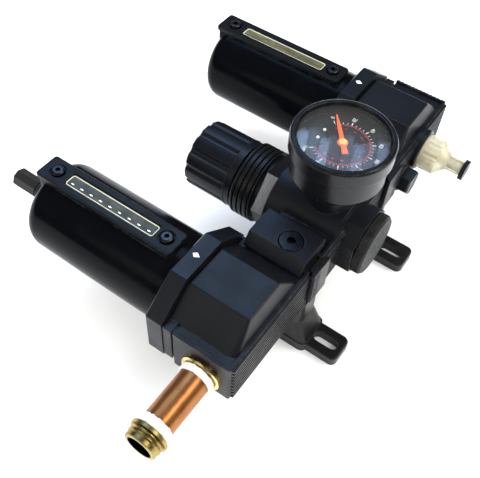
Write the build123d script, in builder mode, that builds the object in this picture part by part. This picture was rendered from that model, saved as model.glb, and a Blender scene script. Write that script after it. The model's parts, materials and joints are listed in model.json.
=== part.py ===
from build123d import *
import math
import os

# Filter, regulator and lubricator set for a compressed air line, lying on its wall brackets.
# +Z points out of the wall, +Y is up when the set hangs on the wall, and air runs from +X to -X.
# The origin lies on the wall plane, behind the point where the gauge axis meets the air passage.

# ---- Driving dimensions, millimetres -----------------------------------------------------------

PITCH = 77.7  # filter to regulator, and regulator to lubricator
AXIS_Z = 51.5  # bowls, knob and valve cap share this height above the wall
PORT_Z = 48.5  # height of the air passage

BLOCK_HALF_X = 33.6  # cast body block
BLOCK_HALF_Z = 14.0
BLOCK_LOW_Y = -17.4
BLOCK_HIGH_Y = 15.5
RIM = 1.8  # raised lip round the block's front and back
RIM_HEIGHT = 1.6
RIB_HEIGHT = 1.5  # ribs on the block's upper face
RIB_WIDTH = 1.9
RIB_PITCH = 3.05
RIB_COUNT = 9
RIB_TAPER = 12  # degrees of draft on the ribs
CAST_ROUND = 1.2  # small corner rounding left by casting

ROOF_HALF_TOP = 12.25  # hipped cap on the front and back of a bowl module
ROOF_HALF_FOOT = 27.1
ROOF_HEIGHT = 25.0
ROOF_LOW_Y = -21.9
ROOF_HIGH_Y = 10.7
ROOF_FOOT_Y = 13.9
ROOF_FOOT_CORNER = 4.0
ROOF_TOP_CORNER = 1.2
ROOF_ROUND = 1.2
NECK_STEP = 1.2  # waist between the block and the bowl neck

NECK_LOW_Y = -23.5  # lower face of a bowl module's body
NECK_HALF_X = 32.8

BOWL_R = 24.9
BOWL_WALL = 3.4
BOWL_END_Y = -124.4
BOWL_END_ROUND = 8.5
BOWL_NECK_R = 21.7
BOWL_NECK_TOP_Y = -12.0
BODY_BORE_R = 22.0
BODY_BORE_TOP_Y = -9.0

COLLAR_TOP_Y = -23.9
COLLAR_LOW_Y = -33.7
COLLAR_HALF_TOP = 13.7
COLLAR_HALF_X = 33.2
COLLAR_HALF_Z = 28.1
COLLAR_SIDE_Z = 13.3

SIGHT_LOW_Y = -125.8  # sight strip along the front of a bowl
SIGHT_HIGH_Y = -39.2
SIGHT_WIDTH = 15.4
SIGHT_BOSS_Z = 76.4
SIGHT_PLATE = 2.6
SIGHT_TOP_Z = 79.2
WINDOW_LOW_Y = -109.4
WINDOW_HIGH_Y = -52.8
WINDOW_WIDTH = 7.6
SIGHT_SCREW_Y = (-117.0, -46.4)
SIGHT_SCREW_HEAD_R = 3.6

PORT_THREAD_R = 9.5
PORT_THREAD_DEPTH = 15.0
PASSAGE_R = 8.0

TUBE_R = 7.94  # half inch nominal copper tube, 15.9 mm outside
TUBE_WALL = 1.02
TUBE_START_X = 113.6
TUBE_END_X = 148.2

TRUNK_R = 23.0  # regulator
TRUNK_LOW_Y = -27.6
TRUNK_HIGH_Y = 14.0
GAUGE_BOSS_R = 13.0
GAUGE_BOSS_Z = 78.0
BONNET_BORE_R = 13.6
HEX_CORNER_R = 22.5
HEX_TURN = 9.0  # degrees from +X to the first corner
HEX_LOW_Y = -35.2
RING_R = 21.5
RING_END_Y = -50.0
KNOB_R = 20.0
KNOB_LOW_Y = -82.3
KNOB_SKIRT_Y = -51.5
KNOB_FLUTES = 12
CAP_R = 17.5
CAP_LOW_Y = 25.6
CAP_HIGH_Y = 31.0

GAUGE_R = 26.0
GAUGE_CASE_R = 24.3
GAUGE_BACK_Z = 90.8
GAUGE_FRONT_Z = 114.6
NEEDLE_REST = 219.0  # degrees from +X; the scale starts at 225

BRACKET_HALF_X = 8.8
BRACKET_BLOCK_Z = 64.0
EAR_HALF_X = 8.6
EAR_END_Y = 41.5
EAR_THICK = 6.5
EAR_ROUND = 3.6
SLOT_Y = 30.8
SLOT_R = 3.3
SLOT_LENGTH = 15.0

DOME_Z = 54.0  # sight dome and fill plug on the lubricator
PLUG_OFFSET = 19.7
PLUG_Z = 46.0

FIT = 0.05  # radial clearance where two pieces of one assembly slide together
RUNNING = 0.1  # radial clearance where a piece turns or slides in another

os.makedirs("parts", exist_ok=True)


# ---- Helpers -----------------------------------------------------------------------------------


def plane_down(x, y, z=AXIS_Z):
    """A plane facing down the wall, -Y, with its own y along +Z."""
    return Plane(origin=(x, y, z), x_dir=(1, 0, 0), z_dir=(0, -1, 0))


def plane_up(x, y, z=AXIS_Z):
    """A plane facing up the wall, +Y, with its own y along +Z."""
    return Plane(origin=(x, y, z), x_dir=(-1, 0, 0), z_dir=(0, 1, 0))


def plane_side(x, y, z, side):
    """A plane facing +X or -X, with its own y along +Z."""
    return Plane(origin=(x, y, z), x_dir=(0, side, 0), z_dir=(side, 0, 0))


def turned(x, z, outline):
    """A solid turned about an upright axis through (x, z). The outline lists (radius, y)."""
    with BuildPart() as piece:
        with BuildSketch(Plane(origin=(x, 0, z))):
            with BuildLine():
                Polyline(*outline, close=True)
            make_face()
        revolve(axis=Axis((x, 0, z), (0, 1, 0)))
    return piece


def turned_on_x(y, z, outline):
    """A solid turned about an axis along X through (y, z). The outline lists (x, radius)."""
    with BuildPart() as piece:
        with BuildSketch(Plane(origin=(0, y, z))):
            with BuildLine():
                Polyline(*outline, close=True)
            make_face()
        revolve(axis=Axis((0, y, z), (1, 0, 0)))
    return piece


def turned_on_z(x, y, outline):
    """A solid turned about an axis along Z through (x, y). The outline lists (radius, z)."""
    with BuildPart() as piece:
        with BuildSketch(Plane(origin=(x, y, 0), x_dir=(1, 0, 0), z_dir=(0, -1, 0))):
            with BuildLine():
                Polyline(*outline, close=True)
            make_face()
        revolve(axis=Axis((x, y, 0), (0, 0, 1)))
    return piece


def tube_on_x(y, z, start, end, outer, inner):
    """A plain tube along X."""
    return turned_on_x(y, z, [(start, inner), (end, inner), (end, outer), (start, outer)])


def seal_ring(x, y, z, ring_r, cord_r):
    """An O-ring round an upright axis."""
    with BuildPart() as ring:
        with BuildSketch(Plane(origin=(x, y, z))):
            with Locations((ring_r, 0)):
                Circle(cord_r)
        revolve(axis=Axis((x, y, z), (0, 1, 0)))
    return ring


def coil_spring(y_low, y_high, mean_r, wire_r, turns):
    """A round wire spring on the regulator's axis."""
    height = y_high - y_low - 2 * wire_r
    with BuildPart() as spring:
        with BuildLine() as wire:
            Helix(
                pitch=height / turns,
                height=height,
                radius=mean_r,
                center=(0, y_low + wire_r, AXIS_Z),
                direction=(0, 1, 0),
            )
        with BuildSketch(Plane(origin=wire.line @ 0, z_dir=wire.line % 0)):
            Circle(wire_r)
        sweep(path=wire.line, is_frenet=True)
    return spring


def eight_sided(half_top, half_z, half_x, side_z):
    """Corners of an eight-sided outline that is the same left, right, front and back."""
    quarter = [(half_top, half_z), (half_x, side_z)]
    right = quarter + [(x, -z) for x, z in reversed(quarter)]
    return right + [(-x, z) for x, z in reversed(right)]


# ---- Cast bodies -------------------------------------------------------------------------------


def cast_block(x):
    """The block that all three bodies share: rims front and back, ribs on the upper face."""
    floor_half = BLOCK_HALF_Z - RIM_HEIGHT
    middle_y = (BLOCK_LOW_Y + BLOCK_HIGH_Y) / 2
    depth_y = BLOCK_HIGH_Y - BLOCK_LOW_Y
    with BuildPart() as block:
        with BuildSketch(Plane.XY.offset(AXIS_Z - BLOCK_HALF_Z)):
            with Locations((x, middle_y)):
                Rectangle(2 * BLOCK_HALF_X, depth_y)
        extrude(amount=2 * BLOCK_HALF_Z)
        fillet(block.edges().filter_by(Axis.Z), CAST_ROUND)
        for face_z, way in ((AXIS_Z + floor_half, 1), (AXIS_Z - floor_half, -1)):
            with BuildSketch(Plane.XY.offset(face_z)):
                with Locations((x, middle_y - RIM)):
                    Rectangle(2 * (BLOCK_HALF_X - RIM), depth_y)
            extrude(amount=way * RIM_HEIGHT, mode=Mode.SUBTRACT)
        with BuildSketch(plane_up(x, BLOCK_HIGH_Y)):
            with GridLocations(1, RIB_PITCH, 1, RIB_COUNT):
                Rectangle(2 * BLOCK_HALF_X - 2.6, RIB_WIDTH)
        extrude(amount=RIB_HEIGHT, taper=RIB_TAPER)
    return block.part


def bowl_module_casting(x, outer):
    """Block, bowl neck and two hipped caps of a bowl module. The outer end faces +X for outer = 1."""
    floor_half = BLOCK_HALF_Z - RIM_HEIGHT
    roof_side = [(ROOF_HALF_TOP, ROOF_HEIGHT), (ROOF_HALF_FOOT, floor_half)]
    front_right = roof_side + [(NECK_HALF_X, floor_half)]
    right = front_right + [(px, -pz) for px, pz in reversed(front_right)]
    neck_outline = right + [(-px, pz) for px, pz in reversed(right)]
    groove_y = BLOCK_LOW_Y - NECK_STEP
    block = cast_block(x)
    with BuildPart() as body:
        add(block)
        with BuildSketch(plane_down(x, groove_y)):
            with BuildLine():
                Polyline(*neck_outline, close=True)
            make_face()
        extrude(amount=groove_y - NECK_LOW_Y)
        with BuildSketch(plane_down(x, BLOCK_LOW_Y)):
            Rectangle(2 * NECK_HALF_X - 3.0, 2 * floor_half - 2.0)
        extrude(amount=NECK_STEP)
        for way in (1, -1):
            roof_top = AXIS_Z + way * ROOF_HEIGHT
            levels = (
                (AXIS_Z + way * floor_half, ROOF_HALF_FOOT, ROOF_FOOT_Y, ROOF_FOOT_CORNER),
                (roof_top, ROOF_HALF_TOP, ROOF_HIGH_Y, ROOF_TOP_CORNER),
            )
            for z, half_x, high_y, corner in levels:
                with BuildSketch(Plane.XY.offset(z)) as outline:
                    with Locations((x, (ROOF_LOW_Y + high_y) / 2)):
                        Rectangle(2 * half_x, high_y - ROOF_LOW_Y)
                    fillet(outline.vertices().group_by(Axis.Y)[-1], corner)
            loft()
            top_faces = body.faces().filter_by_position(Axis.Z, roof_top - 0.01, roof_top + 0.01)
            fillet(top_faces.edges(), ROOF_ROUND)
        with BuildSketch(plane_down(x, BODY_BORE_TOP_Y)):
            Circle(BODY_BORE_R)
        extrude(amount=BODY_BORE_TOP_Y - NECK_LOW_Y, mode=Mode.SUBTRACT)
        with BuildSketch(plane_side(x + outer * BLOCK_HALF_X, 0, PORT_Z, -outer)):
            Circle(PORT_THREAD_R)
        extrude(amount=PORT_THREAD_DEPTH, mode=Mode.SUBTRACT)
        with BuildSketch(plane_side(x - outer * BLOCK_HALF_X, 0, PORT_Z, outer)):
            Circle(PASSAGE_R)
        extrude(amount=BLOCK_HALF_X, mode=Mode.SUBTRACT)
    return body.part


# Filter body: the inlet bore drops into the bowl, the outlet bore rises from the element.
INLET_DROP_R = 3.4
INLET_DROP_X = 22.0
OUTLET_RISER_R = 6.0
BODY_DRILLING = 12.0
STUD_HOLE_R = 2.5
filter_x = PITCH
filter_casting = bowl_module_casting(filter_x, 1)
with BuildPart() as filter_body:
    add(filter_casting)
    with BuildSketch(plane_down(filter_x + INLET_DROP_X, 0, PORT_Z)):
        Circle(INLET_DROP_R)
    extrude(amount=BODY_DRILLING, mode=Mode.SUBTRACT)
    with BuildSketch(plane_down(filter_x, 0)):
        Circle(OUTLET_RISER_R)
    extrude(amount=BODY_DRILLING, mode=Mode.SUBTRACT)
    with BuildSketch(plane_down(filter_x, BODY_DRILLING)):
        Circle(STUD_HOLE_R)
    extrude(amount=BODY_DRILLING + 1.0, mode=Mode.SUBTRACT)
filter_body.part.label = "filter_body"
export_step(filter_body.part, "parts/filter_body.step")

# Lubricator body: straight passage, pads for the dome and the plug, upright ribs on the outer end.
DOME_PAD_R = 12.7
PLUG_PAD_R = 8.4
PAD_RISE = 1.4
DROP_HOLE_R = 1.5
RISER_HOLE_R = 1.6
RISER_Z = DOME_Z + 6.0
PLUG_HOLE_R = 5.1
PAD_FACE_Y = BLOCK_HIGH_Y - 1.0 + RIB_HEIGHT + PAD_RISE + 0.6
END_RIB_PITCH = 2.4
END_RIB_COUNT = 12
END_GROOVE_WIDTH = 0.9
END_GROOVE_DEPTH = 0.5
lubricator_x = -PITCH
lubricator_casting = bowl_module_casting(lubricator_x, -1)
with BuildPart() as lubricator_body:
    add(lubricator_casting)
    for offset, pad_z, pad_r in ((0, DOME_Z, DOME_PAD_R), (PLUG_OFFSET, PLUG_Z, PLUG_PAD_R)):
        with BuildSketch(plane_up(lubricator_x + offset, BLOCK_HIGH_Y - 1.0, pad_z)):
            Circle(pad_r)
        extrude(amount=RIB_HEIGHT + PAD_RISE)
    with BuildSketch(plane_side(lubricator_x - BLOCK_HALF_X, 0, PORT_Z, 1)):
        Circle(PASSAGE_R)
    extrude(amount=BLOCK_HALF_X + 2.0, mode=Mode.SUBTRACT)
    with BuildSketch(plane_down(lubricator_x, PAD_FACE_Y, DOME_Z)):
        Circle(8.2)
    extrude(amount=3.0, mode=Mode.SUBTRACT)
    with BuildSketch(plane_down(lubricator_x, PAD_FACE_Y, DOME_Z)):
        Circle(DROP_HOLE_R)
    extrude(amount=PAD_FACE_Y, mode=Mode.SUBTRACT)
    with BuildSketch(plane_down(lubricator_x, PAD_FACE_Y, RISER_Z)):
        Circle(RISER_HOLE_R)
    extrude(amount=PAD_FACE_Y - BODY_BORE_TOP_Y + 3.0, mode=Mode.SUBTRACT)
    with BuildSketch(plane_down(lubricator_x + PLUG_OFFSET, PAD_FACE_Y, PLUG_Z)):
        Circle(PLUG_HOLE_R)
    extrude(amount=PAD_FACE_Y - BODY_BORE_TOP_Y + 3.0, mode=Mode.SUBTRACT)
    with BuildSketch(plane_side(lubricator_x - BLOCK_HALF_X, -1.5, AXIS_Z, 1)):
        with GridLocations(END_RIB_PITCH, 1, END_RIB_COUNT, 1):
            Rectangle(END_GROOVE_WIDTH, 2 * BLOCK_HALF_Z)
        Circle(PORT_THREAD_R + 3.0, mode=Mode.SUBTRACT)
    extrude(amount=END_GROOVE_DEPTH, mode=Mode.SUBTRACT)
lubricator_body.part.label = "lubricator_body"
export_step(lubricator_body.part, "parts/lubricator_body.step")

# Regulator body: the shared block with a round trunk, a gauge boss and an eight-sided cap boss.
VALVE_BORE_R = 9.0
VALVE_BORE_LOW_Y = -12.0
CHAMBER_R = 15.0
CHAMBER_TOP_Y = -16.0
DIAPHRAGM_SEAT_Y = -20.4
SPIGOT_R = 18.0
DIAPHRAGM_THICK = 1.7
BONNET_TOP_Y = DIAPHRAGM_SEAT_Y - DIAPHRAGM_THICK
PUSH_ROD_HOLE_R = 3.0
SENSING_HOLE_R = 3.0
SENSING_HOLE_X = 13.5
GAUGE_PORT_R = 6.0
GAUGE_PORT_DEPTH = 12.0

regulator_block = cast_block(0)
with BuildPart() as regulator_body:
    add(regulator_block)
    with BuildSketch(plane_down(0, TRUNK_HIGH_Y)):
        Circle(TRUNK_R)
    extrude(amount=TRUNK_HIGH_Y - TRUNK_LOW_Y)
    with BuildSketch(Plane.XY.offset(AXIS_Z)):
        Circle(GAUGE_BOSS_R)
    extrude(amount=GAUGE_BOSS_Z - AXIS_Z)
    cap_boss_face = eight_sided(7.5, 17.2, 17.2, 8.5)
    with BuildSketch(plane_up(0, 0)):
        with BuildLine():
            Polyline(*cap_boss_face, close=True)
        make_face()
    extrude(amount=CAP_LOW_Y - 0.4)
    with BuildSketch(plane_up(0, VALVE_BORE_LOW_Y)):
        Circle(VALVE_BORE_R)
    extrude(amount=CAP_LOW_Y - VALVE_BORE_LOW_Y, mode=Mode.SUBTRACT)
    with BuildSketch(plane_down(0, DIAPHRAGM_SEAT_Y)):
        Circle(SPIGOT_R + FIT)
    extrude(amount=DIAPHRAGM_SEAT_Y - TRUNK_LOW_Y, mode=Mode.SUBTRACT)
    with BuildSketch(plane_down(0, CHAMBER_TOP_Y)):
        Circle(CHAMBER_R)
    extrude(amount=CHAMBER_TOP_Y - DIAPHRAGM_SEAT_Y, mode=Mode.SUBTRACT)
    with BuildSketch(plane_down(0, VALVE_BORE_LOW_Y)):
        Circle(PUSH_ROD_HOLE_R)
    extrude(amount=VALVE_BORE_LOW_Y - CHAMBER_TOP_Y, mode=Mode.SUBTRACT)
    with BuildSketch(plane_side(BLOCK_HALF_X, 0, PORT_Z, -1)):
        Circle(PASSAGE_R)
    extrude(amount=BLOCK_HALF_X, mode=Mode.SUBTRACT)
    with BuildSketch(plane_side(-BLOCK_HALF_X, 0, PORT_Z, 1)):
        Circle(PASSAGE_R)
    extrude(amount=BLOCK_HALF_X - SENSING_HOLE_X + 1.0, mode=Mode.SUBTRACT)
    with BuildSketch(plane_down(-SENSING_HOLE_X, 0, PORT_Z)):
        Circle(SENSING_HOLE_R)
    extrude(amount=2.0 - CHAMBER_TOP_Y, mode=Mode.SUBTRACT)
    with BuildSketch(Plane.XY.offset(GAUGE_BOSS_Z - GAUGE_PORT_DEPTH)):
        Circle(GAUGE_PORT_R)
    extrude(amount=GAUGE_PORT_DEPTH, mode=Mode.SUBTRACT)
regulator_body.part.label = "regulator_body"
export_step(regulator_body.part, "parts/regulator_body.step")


# ---- Bowls with their collars and sight strips -------------------------------------------------

SEAL_Y = -16.5
GLASS_WIDTH = WINDOW_WIDTH + 1.6
GLASS_LENGTH = WINDOW_HIGH_Y - WINDOW_LOW_Y + 3.0
GLASS_Y = (WINDOW_LOW_Y + WINDOW_HIGH_Y) / 2
GLASS_LOW_Z = SIGHT_BOSS_Z - 2.4
PLATE_LOW_Z = SIGHT_TOP_Z - SIGHT_PLATE
SIGHT_Y = (SIGHT_LOW_Y + SIGHT_HIGH_Y) / 2
SIGHT_LENGTH = SIGHT_HIGH_Y - SIGHT_LOW_Y
BOWL_FLOOR = 5.0
BOWL_FLAT_Z = AXIS_Z + 18.0
BOWL_NECK_WALL = 2.9
SEAL_GROOVE_WIDTH = 2.6
SEAL_GROOVE_DEPTH = 2.0
SIGHT_SCREW_R = 1.95
SIGHT_SEAT_DEPTH = 1.0
SIGHT_SEAT_Z = SIGHT_TOP_Z - SIGHT_SEAT_DEPTH
SIGHT_HEAD_HEIGHT = 2.3


def bowl_set(x, name, drain_hole_r):
    """Bowl, collar, seal and sight strip of one module. They turn together about the bowl's axis."""
    inner_r = BOWL_R - BOWL_WALL
    with BuildPart() as bowl:
        with BuildSketch(plane_down(x, COLLAR_TOP_Y)):
            Circle(BOWL_R - 0.4)
        extrude(amount=COLLAR_TOP_Y - COLLAR_LOW_Y)
        with BuildSketch(plane_down(x, COLLAR_LOW_Y)):
            Circle(BOWL_R)
        extrude(amount=COLLAR_LOW_Y - BOWL_END_Y)
        fillet(bowl.edges().filter_by(GeomType.CIRCLE).sort_by(Axis.Y)[0], BOWL_END_ROUND)
        with BuildSketch(Plane.XY.offset(BOWL_FLAT_Z)):
            with Locations((x, SIGHT_Y + 0.3)):
                RectangleRounded(SIGHT_WIDTH - 0.4, SIGHT_LENGTH - 1.4, 2.0)
        extrude(amount=SIGHT_BOSS_Z - BOWL_FLAT_Z)
        with BuildSketch(plane_down(x, BOWL_NECK_TOP_Y)):
            Circle(BOWL_NECK_R)
        extrude(amount=BOWL_NECK_TOP_Y - COLLAR_TOP_Y)
        with BuildSketch(plane_down(x, COLLAR_LOW_Y)):
            Circle(inner_r)
        extrude(amount=COLLAR_LOW_Y - BOWL_END_Y - BOWL_FLOOR, mode=Mode.SUBTRACT)
        with BuildSketch(plane_down(x, BOWL_NECK_TOP_Y)):
            Circle(BOWL_NECK_R - BOWL_NECK_WALL)
        extrude(amount=BOWL_NECK_TOP_Y - COLLAR_LOW_Y, mode=Mode.SUBTRACT)
        with BuildSketch(Plane(origin=(x, SEAL_Y, AXIS_Z))):
            with Locations((BOWL_NECK_R, 0)):
                Rectangle(2 * SEAL_GROOVE_DEPTH, SEAL_GROOVE_WIDTH)
        revolve(axis=Axis((x, 0, AXIS_Z), (0, 1, 0)), mode=Mode.SUBTRACT)
        with BuildSketch(Plane.XY.offset(GLASS_LOW_Z)):
            with Locations((x, GLASS_Y)):
                RectangleRounded(GLASS_WIDTH, GLASS_LENGTH, 1.6)
        extrude(amount=8.0, mode=Mode.SUBTRACT)
        with BuildSketch(Plane.XY.offset(AXIS_Z + 14.0)):
            with Locations((x, GLASS_Y)):
                RectangleRounded(WINDOW_WIDTH - 3.0, GLASS_LENGTH - 8.0, 1.6)
        extrude(amount=14.0, mode=Mode.SUBTRACT)
        with BuildSketch(Plane.XY.offset(SIGHT_BOSS_Z - 6.0)):
            with Locations(*[(x, y) for y in SIGHT_SCREW_Y]):
                Circle(SIGHT_SCREW_R + FIT)
        extrude(amount=8.0, mode=Mode.SUBTRACT)
        if drain_hole_r:
            with BuildSketch(plane_down(x, BOWL_END_Y + 8.0)):
                Circle(drain_hole_r)
            extrude(amount=12.0, mode=Mode.SUBTRACT)
    bowl.part.label = f"{name}_bowl"
    export_step(bowl.part, f"parts/{name}_bowl.step")

    with BuildPart() as collar:
        with BuildSketch(plane_down(x, COLLAR_TOP_Y)):
            with BuildLine():
                outline = eight_sided(COLLAR_HALF_TOP, COLLAR_HALF_Z, COLLAR_HALF_X, COLLAR_SIDE_Z)
                Polyline(*outline, close=True)
            make_face()
        extrude(amount=COLLAR_TOP_Y - COLLAR_LOW_Y)
        fillet(collar.edges().filter_by(Axis.Y), 1.0)
        chamfer(collar.faces().sort_by(Axis.Y)[0].edges(), 0.8)
        with BuildSketch(plane_down(x, COLLAR_TOP_Y)):
            Circle(BOWL_R - 0.4 + FIT)
        extrude(amount=COLLAR_TOP_Y - COLLAR_LOW_Y, mode=Mode.SUBTRACT)
    collar.part.label = f"{name}_bowl_collar"
    export_step(collar.part, f"parts/{name}_bowl_collar.step")

    bowl_o_ring = seal_ring(x, SEAL_Y, AXIS_Z, BODY_BORE_R - 1.15, 1.1)
    bowl_o_ring.part.label = f"{name}_bowl_o_ring"
    export_step(bowl_o_ring.part, f"parts/{name}_bowl_o_ring.step")

    with BuildPart() as glass:
        with BuildSketch(Plane.XY.offset(GLASS_LOW_Z)):
            with Locations((x, GLASS_Y)):
                RectangleRounded(GLASS_WIDTH - 0.2, GLASS_LENGTH - 0.2, 1.5)
        extrude(amount=PLATE_LOW_Z - GLASS_LOW_Z)
        with BuildSketch(Plane.XY.offset(PLATE_LOW_Z)):
            with Locations((x, GLASS_Y)):
                RectangleRounded(WINDOW_WIDTH - 0.2, WINDOW_HIGH_Y - WINDOW_LOW_Y - 0.2, 1.2)
        extrude(amount=SIGHT_PLATE - 1.1)
        fillet(glass.faces().sort_by(Axis.Z)[-1].edges(), 0.5)
    glass.part.label = f"{name}_sight_glass"
    export_step(glass.part, f"parts/{name}_sight_glass.step")

    with BuildPart() as frame:
        with BuildSketch(Plane.XY.offset(PLATE_LOW_Z)):
            with Locations((x, SIGHT_Y)):
                RectangleRounded(SIGHT_WIDTH, SIGHT_LENGTH, 1.8)
        extrude(amount=SIGHT_PLATE)
        fillet(frame.faces().sort_by(Axis.Z)[-1].edges(), 0.7)
        with BuildSketch(Plane.XY.offset(PLATE_LOW_Z)):
            with Locations((x, GLASS_Y)):
                RectangleRounded(WINDOW_WIDTH, WINDOW_HIGH_Y - WINDOW_LOW_Y, 1.3)
        extrude(amount=SIGHT_PLATE, mode=Mode.SUBTRACT)
        chamfer(frame.faces().sort_by(Axis.Z)[-1].inner_wires()[0].edges(), 0.6)
        with BuildSketch(Plane.XY.offset(PLATE_LOW_Z)):
            with Locations(*[(x, y) for y in SIGHT_SCREW_Y]):
                Circle(2.2)
        extrude(amount=SIGHT_PLATE, mode=Mode.SUBTRACT)
        with BuildSketch(Plane.XY.offset(SIGHT_SEAT_Z)):
            with Locations(*[(x, y) for y in SIGHT_SCREW_Y]):
                Circle(SIGHT_SCREW_HEAD_R + 0.9)
        extrude(amount=SIGHT_SEAT_DEPTH, mode=Mode.SUBTRACT)
    frame.part.label = f"{name}_sight_frame"
    export_step(frame.part, f"parts/{name}_sight_frame.step")

    with BuildPart() as screws:
        with BuildSketch(Plane.XY.offset(SIGHT_BOSS_Z - 5.5)):
            with Locations(*[(x, y) for y in SIGHT_SCREW_Y]):
                Circle(SIGHT_SCREW_R)
        extrude(amount=SIGHT_SEAT_Z - SIGHT_BOSS_Z + 5.5)
        with BuildSketch(Plane.XY.offset(SIGHT_SEAT_Z)):
            with Locations(*[(x, y) for y in SIGHT_SCREW_Y]):
                Circle(SIGHT_SCREW_HEAD_R)
        extrude(amount=SIGHT_HEAD_HEIGHT)
        fillet(screws.faces().sort_by(Axis.Z)[-2:].edges(), 1.3)
        with BuildSketch(Plane.XY.offset(SIGHT_SEAT_Z + SIGHT_HEAD_HEIGHT)):
            with Locations(*[(x, y) for y in SIGHT_SCREW_Y]):
                RegularPolygon(1.45, 6)
        extrude(amount=-1.6, mode=Mode.SUBTRACT)
    screws.part.label = f"{name}_sight_screws"
    export_step(screws.part, f"parts/{name}_sight_screws.step")


DRAIN_SPIGOT_R = 4.0
bowl_set(filter_x, "filter", DRAIN_SPIGOT_R + FIT)
bowl_set(lubricator_x, "lubricator", 0)

# Manual drain: the body is screwed into the bowl's end, and the knob turns its needle.
DRAIN_END_Y = -136.0
DRAIN_TIP_Y = -152.5
DRAIN_BORE_R = 1.9
DRAIN_TOP_Y = BOWL_END_Y + 7.0
DRAIN_NEEDLE = 18.0
DRAIN_KNOB_R = 5.5
DRAIN_FLANGE_R = 9.6
drain_body_outline = [
    (DRAIN_BORE_R, DRAIN_TOP_Y),
    (DRAIN_SPIGOT_R, DRAIN_TOP_Y),
    (DRAIN_SPIGOT_R, BOWL_END_Y - 0.05),
    (DRAIN_FLANGE_R, BOWL_END_Y - 0.05),
    (DRAIN_FLANGE_R, BOWL_END_Y - 1.6),
    (DRAIN_KNOB_R - 0.2, BOWL_END_Y - 6.0),
    (DRAIN_KNOB_R - 0.5, DRAIN_END_Y),
    (DRAIN_BORE_R, DRAIN_END_Y),
]
drain_body = turned(filter_x, AXIS_Z, drain_body_outline)
drain_body.part.label = "drain_body"
export_step(drain_body.part, "parts/drain_body.step")

with BuildPart() as drain_knob:
    with BuildSketch(plane_down(filter_x, DRAIN_END_Y - 0.4)):
        RegularPolygon(DRAIN_KNOB_R, 8)
    extrude(amount=DRAIN_END_Y - 0.4 - DRAIN_TIP_Y)
    chamfer(drain_knob.faces().sort_by(Axis.Y)[0].edges(), 0.6)
    with BuildSketch(plane_up(filter_x, DRAIN_END_Y - 0.4)):
        Circle(DRAIN_BORE_R - RUNNING)
    extrude(amount=DRAIN_NEEDLE)
    with BuildSketch(plane_up(filter_x, DRAIN_TIP_Y)):
        Circle(2.6)
    extrude(amount=6.0, mode=Mode.SUBTRACT)
drain_knob.part.label = "drain_knob"
export_step(drain_knob.part, "parts/drain_knob.step")


# ---- Filter cartridge --------------------------------------------------------------------------

CARTRIDGE_TOP_Y = -18.0
CARTRIDGE_END_Y = -68.0
STUD_R = 2.4
ELEMENT_BORE_R = 7.5
ELEMENT_R = 13.0
BAFFLE_BORE_R = 6.6
BAFFLE_DISC_R = 14.6
BAFFLE_DISC_Y = -14.0
BAFFLE_DISC = 1.6
BAFFLE_BLADES = 12
BASEPLATE_R = 17.0
BASEPLATE_THICK = 2.2
BASEPLATE_Y = CARTRIDGE_END_Y - BASEPLATE_THICK
STUD_TOP_Y = 10.0
STUD_END_Y = -79.0

with BuildPart() as filter_element:
    with BuildSketch(plane_down(filter_x, CARTRIDGE_TOP_Y)):
        Circle(ELEMENT_R)
        Circle(ELEMENT_BORE_R, mode=Mode.SUBTRACT)
    extrude(amount=CARTRIDGE_TOP_Y - CARTRIDGE_END_Y)
filter_element.part.label = "filter_element"
export_step(filter_element.part, "parts/filter_element.step")

with BuildPart() as element_baffle:
    with BuildSketch(plane_down(filter_x, BODY_BORE_TOP_Y)):
        Circle(11.0)
        Circle(BAFFLE_BORE_R, mode=Mode.SUBTRACT)
    extrude(amount=BODY_BORE_TOP_Y - CARTRIDGE_TOP_Y)
    with BuildSketch(plane_down(filter_x, BAFFLE_DISC_Y)):
        Circle(BAFFLE_DISC_R)
        Circle(BAFFLE_BORE_R, mode=Mode.SUBTRACT)
    extrude(amount=BAFFLE_DISC)
    with BuildSketch(plane_down(filter_x, BAFFLE_DISC_Y - BAFFLE_DISC)):
        with PolarLocations(BAFFLE_DISC_R, BAFFLE_BLADES, rotate=True):
            with Locations(Rotation(0, 0, 35)):
                Rectangle(3.4, 1.2)
    extrude(amount=2.4)
element_baffle.part.label = "element_baffle"
export_step(element_baffle.part, "parts/element_baffle.step")

with BuildPart() as element_baseplate:
    with BuildSketch(plane_down(filter_x, CARTRIDGE_END_Y)):
        Circle(BASEPLATE_R)
        Circle(STUD_R + 0.2, mode=Mode.SUBTRACT)
    extrude(amount=BASEPLATE_THICK)
    with BuildSketch(plane_up(filter_x, BASEPLATE_Y)):
        Circle(BASEPLATE_R)
        Circle(BASEPLATE_R - 1.4, mode=Mode.SUBTRACT)
    extrude(amount=6.0)
element_baseplate.part.label = "element_baseplate"
export_step(element_baseplate.part, "parts/element_baseplate.step")

with BuildPart() as element_stud:
    with BuildSketch(plane_down(filter_x, STUD_TOP_Y)):
        Circle(STUD_R)
    extrude(amount=STUD_TOP_Y - STUD_END_Y)
    with BuildSketch(plane_down(filter_x, BASEPLATE_Y)):
        RegularPolygon(5.6, 6)
    extrude(amount=4.0)
element_stud.part.label = "element_stud"
export_step(element_stud.part, "parts/element_stud.step")


# ---- Inlet stub: two brass adapters, a copper tube and two white sleeves ------------------------

INLET_FACE_X = PITCH + BLOCK_HALF_X
ADAPTER_BORE_R = 5.0
SPIGOT_IN_TUBE_R = TUBE_R - TUBE_WALL - FIT
INLET_FLANGE_R = 10.8
END_FLANGE_R = 9.9

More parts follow.
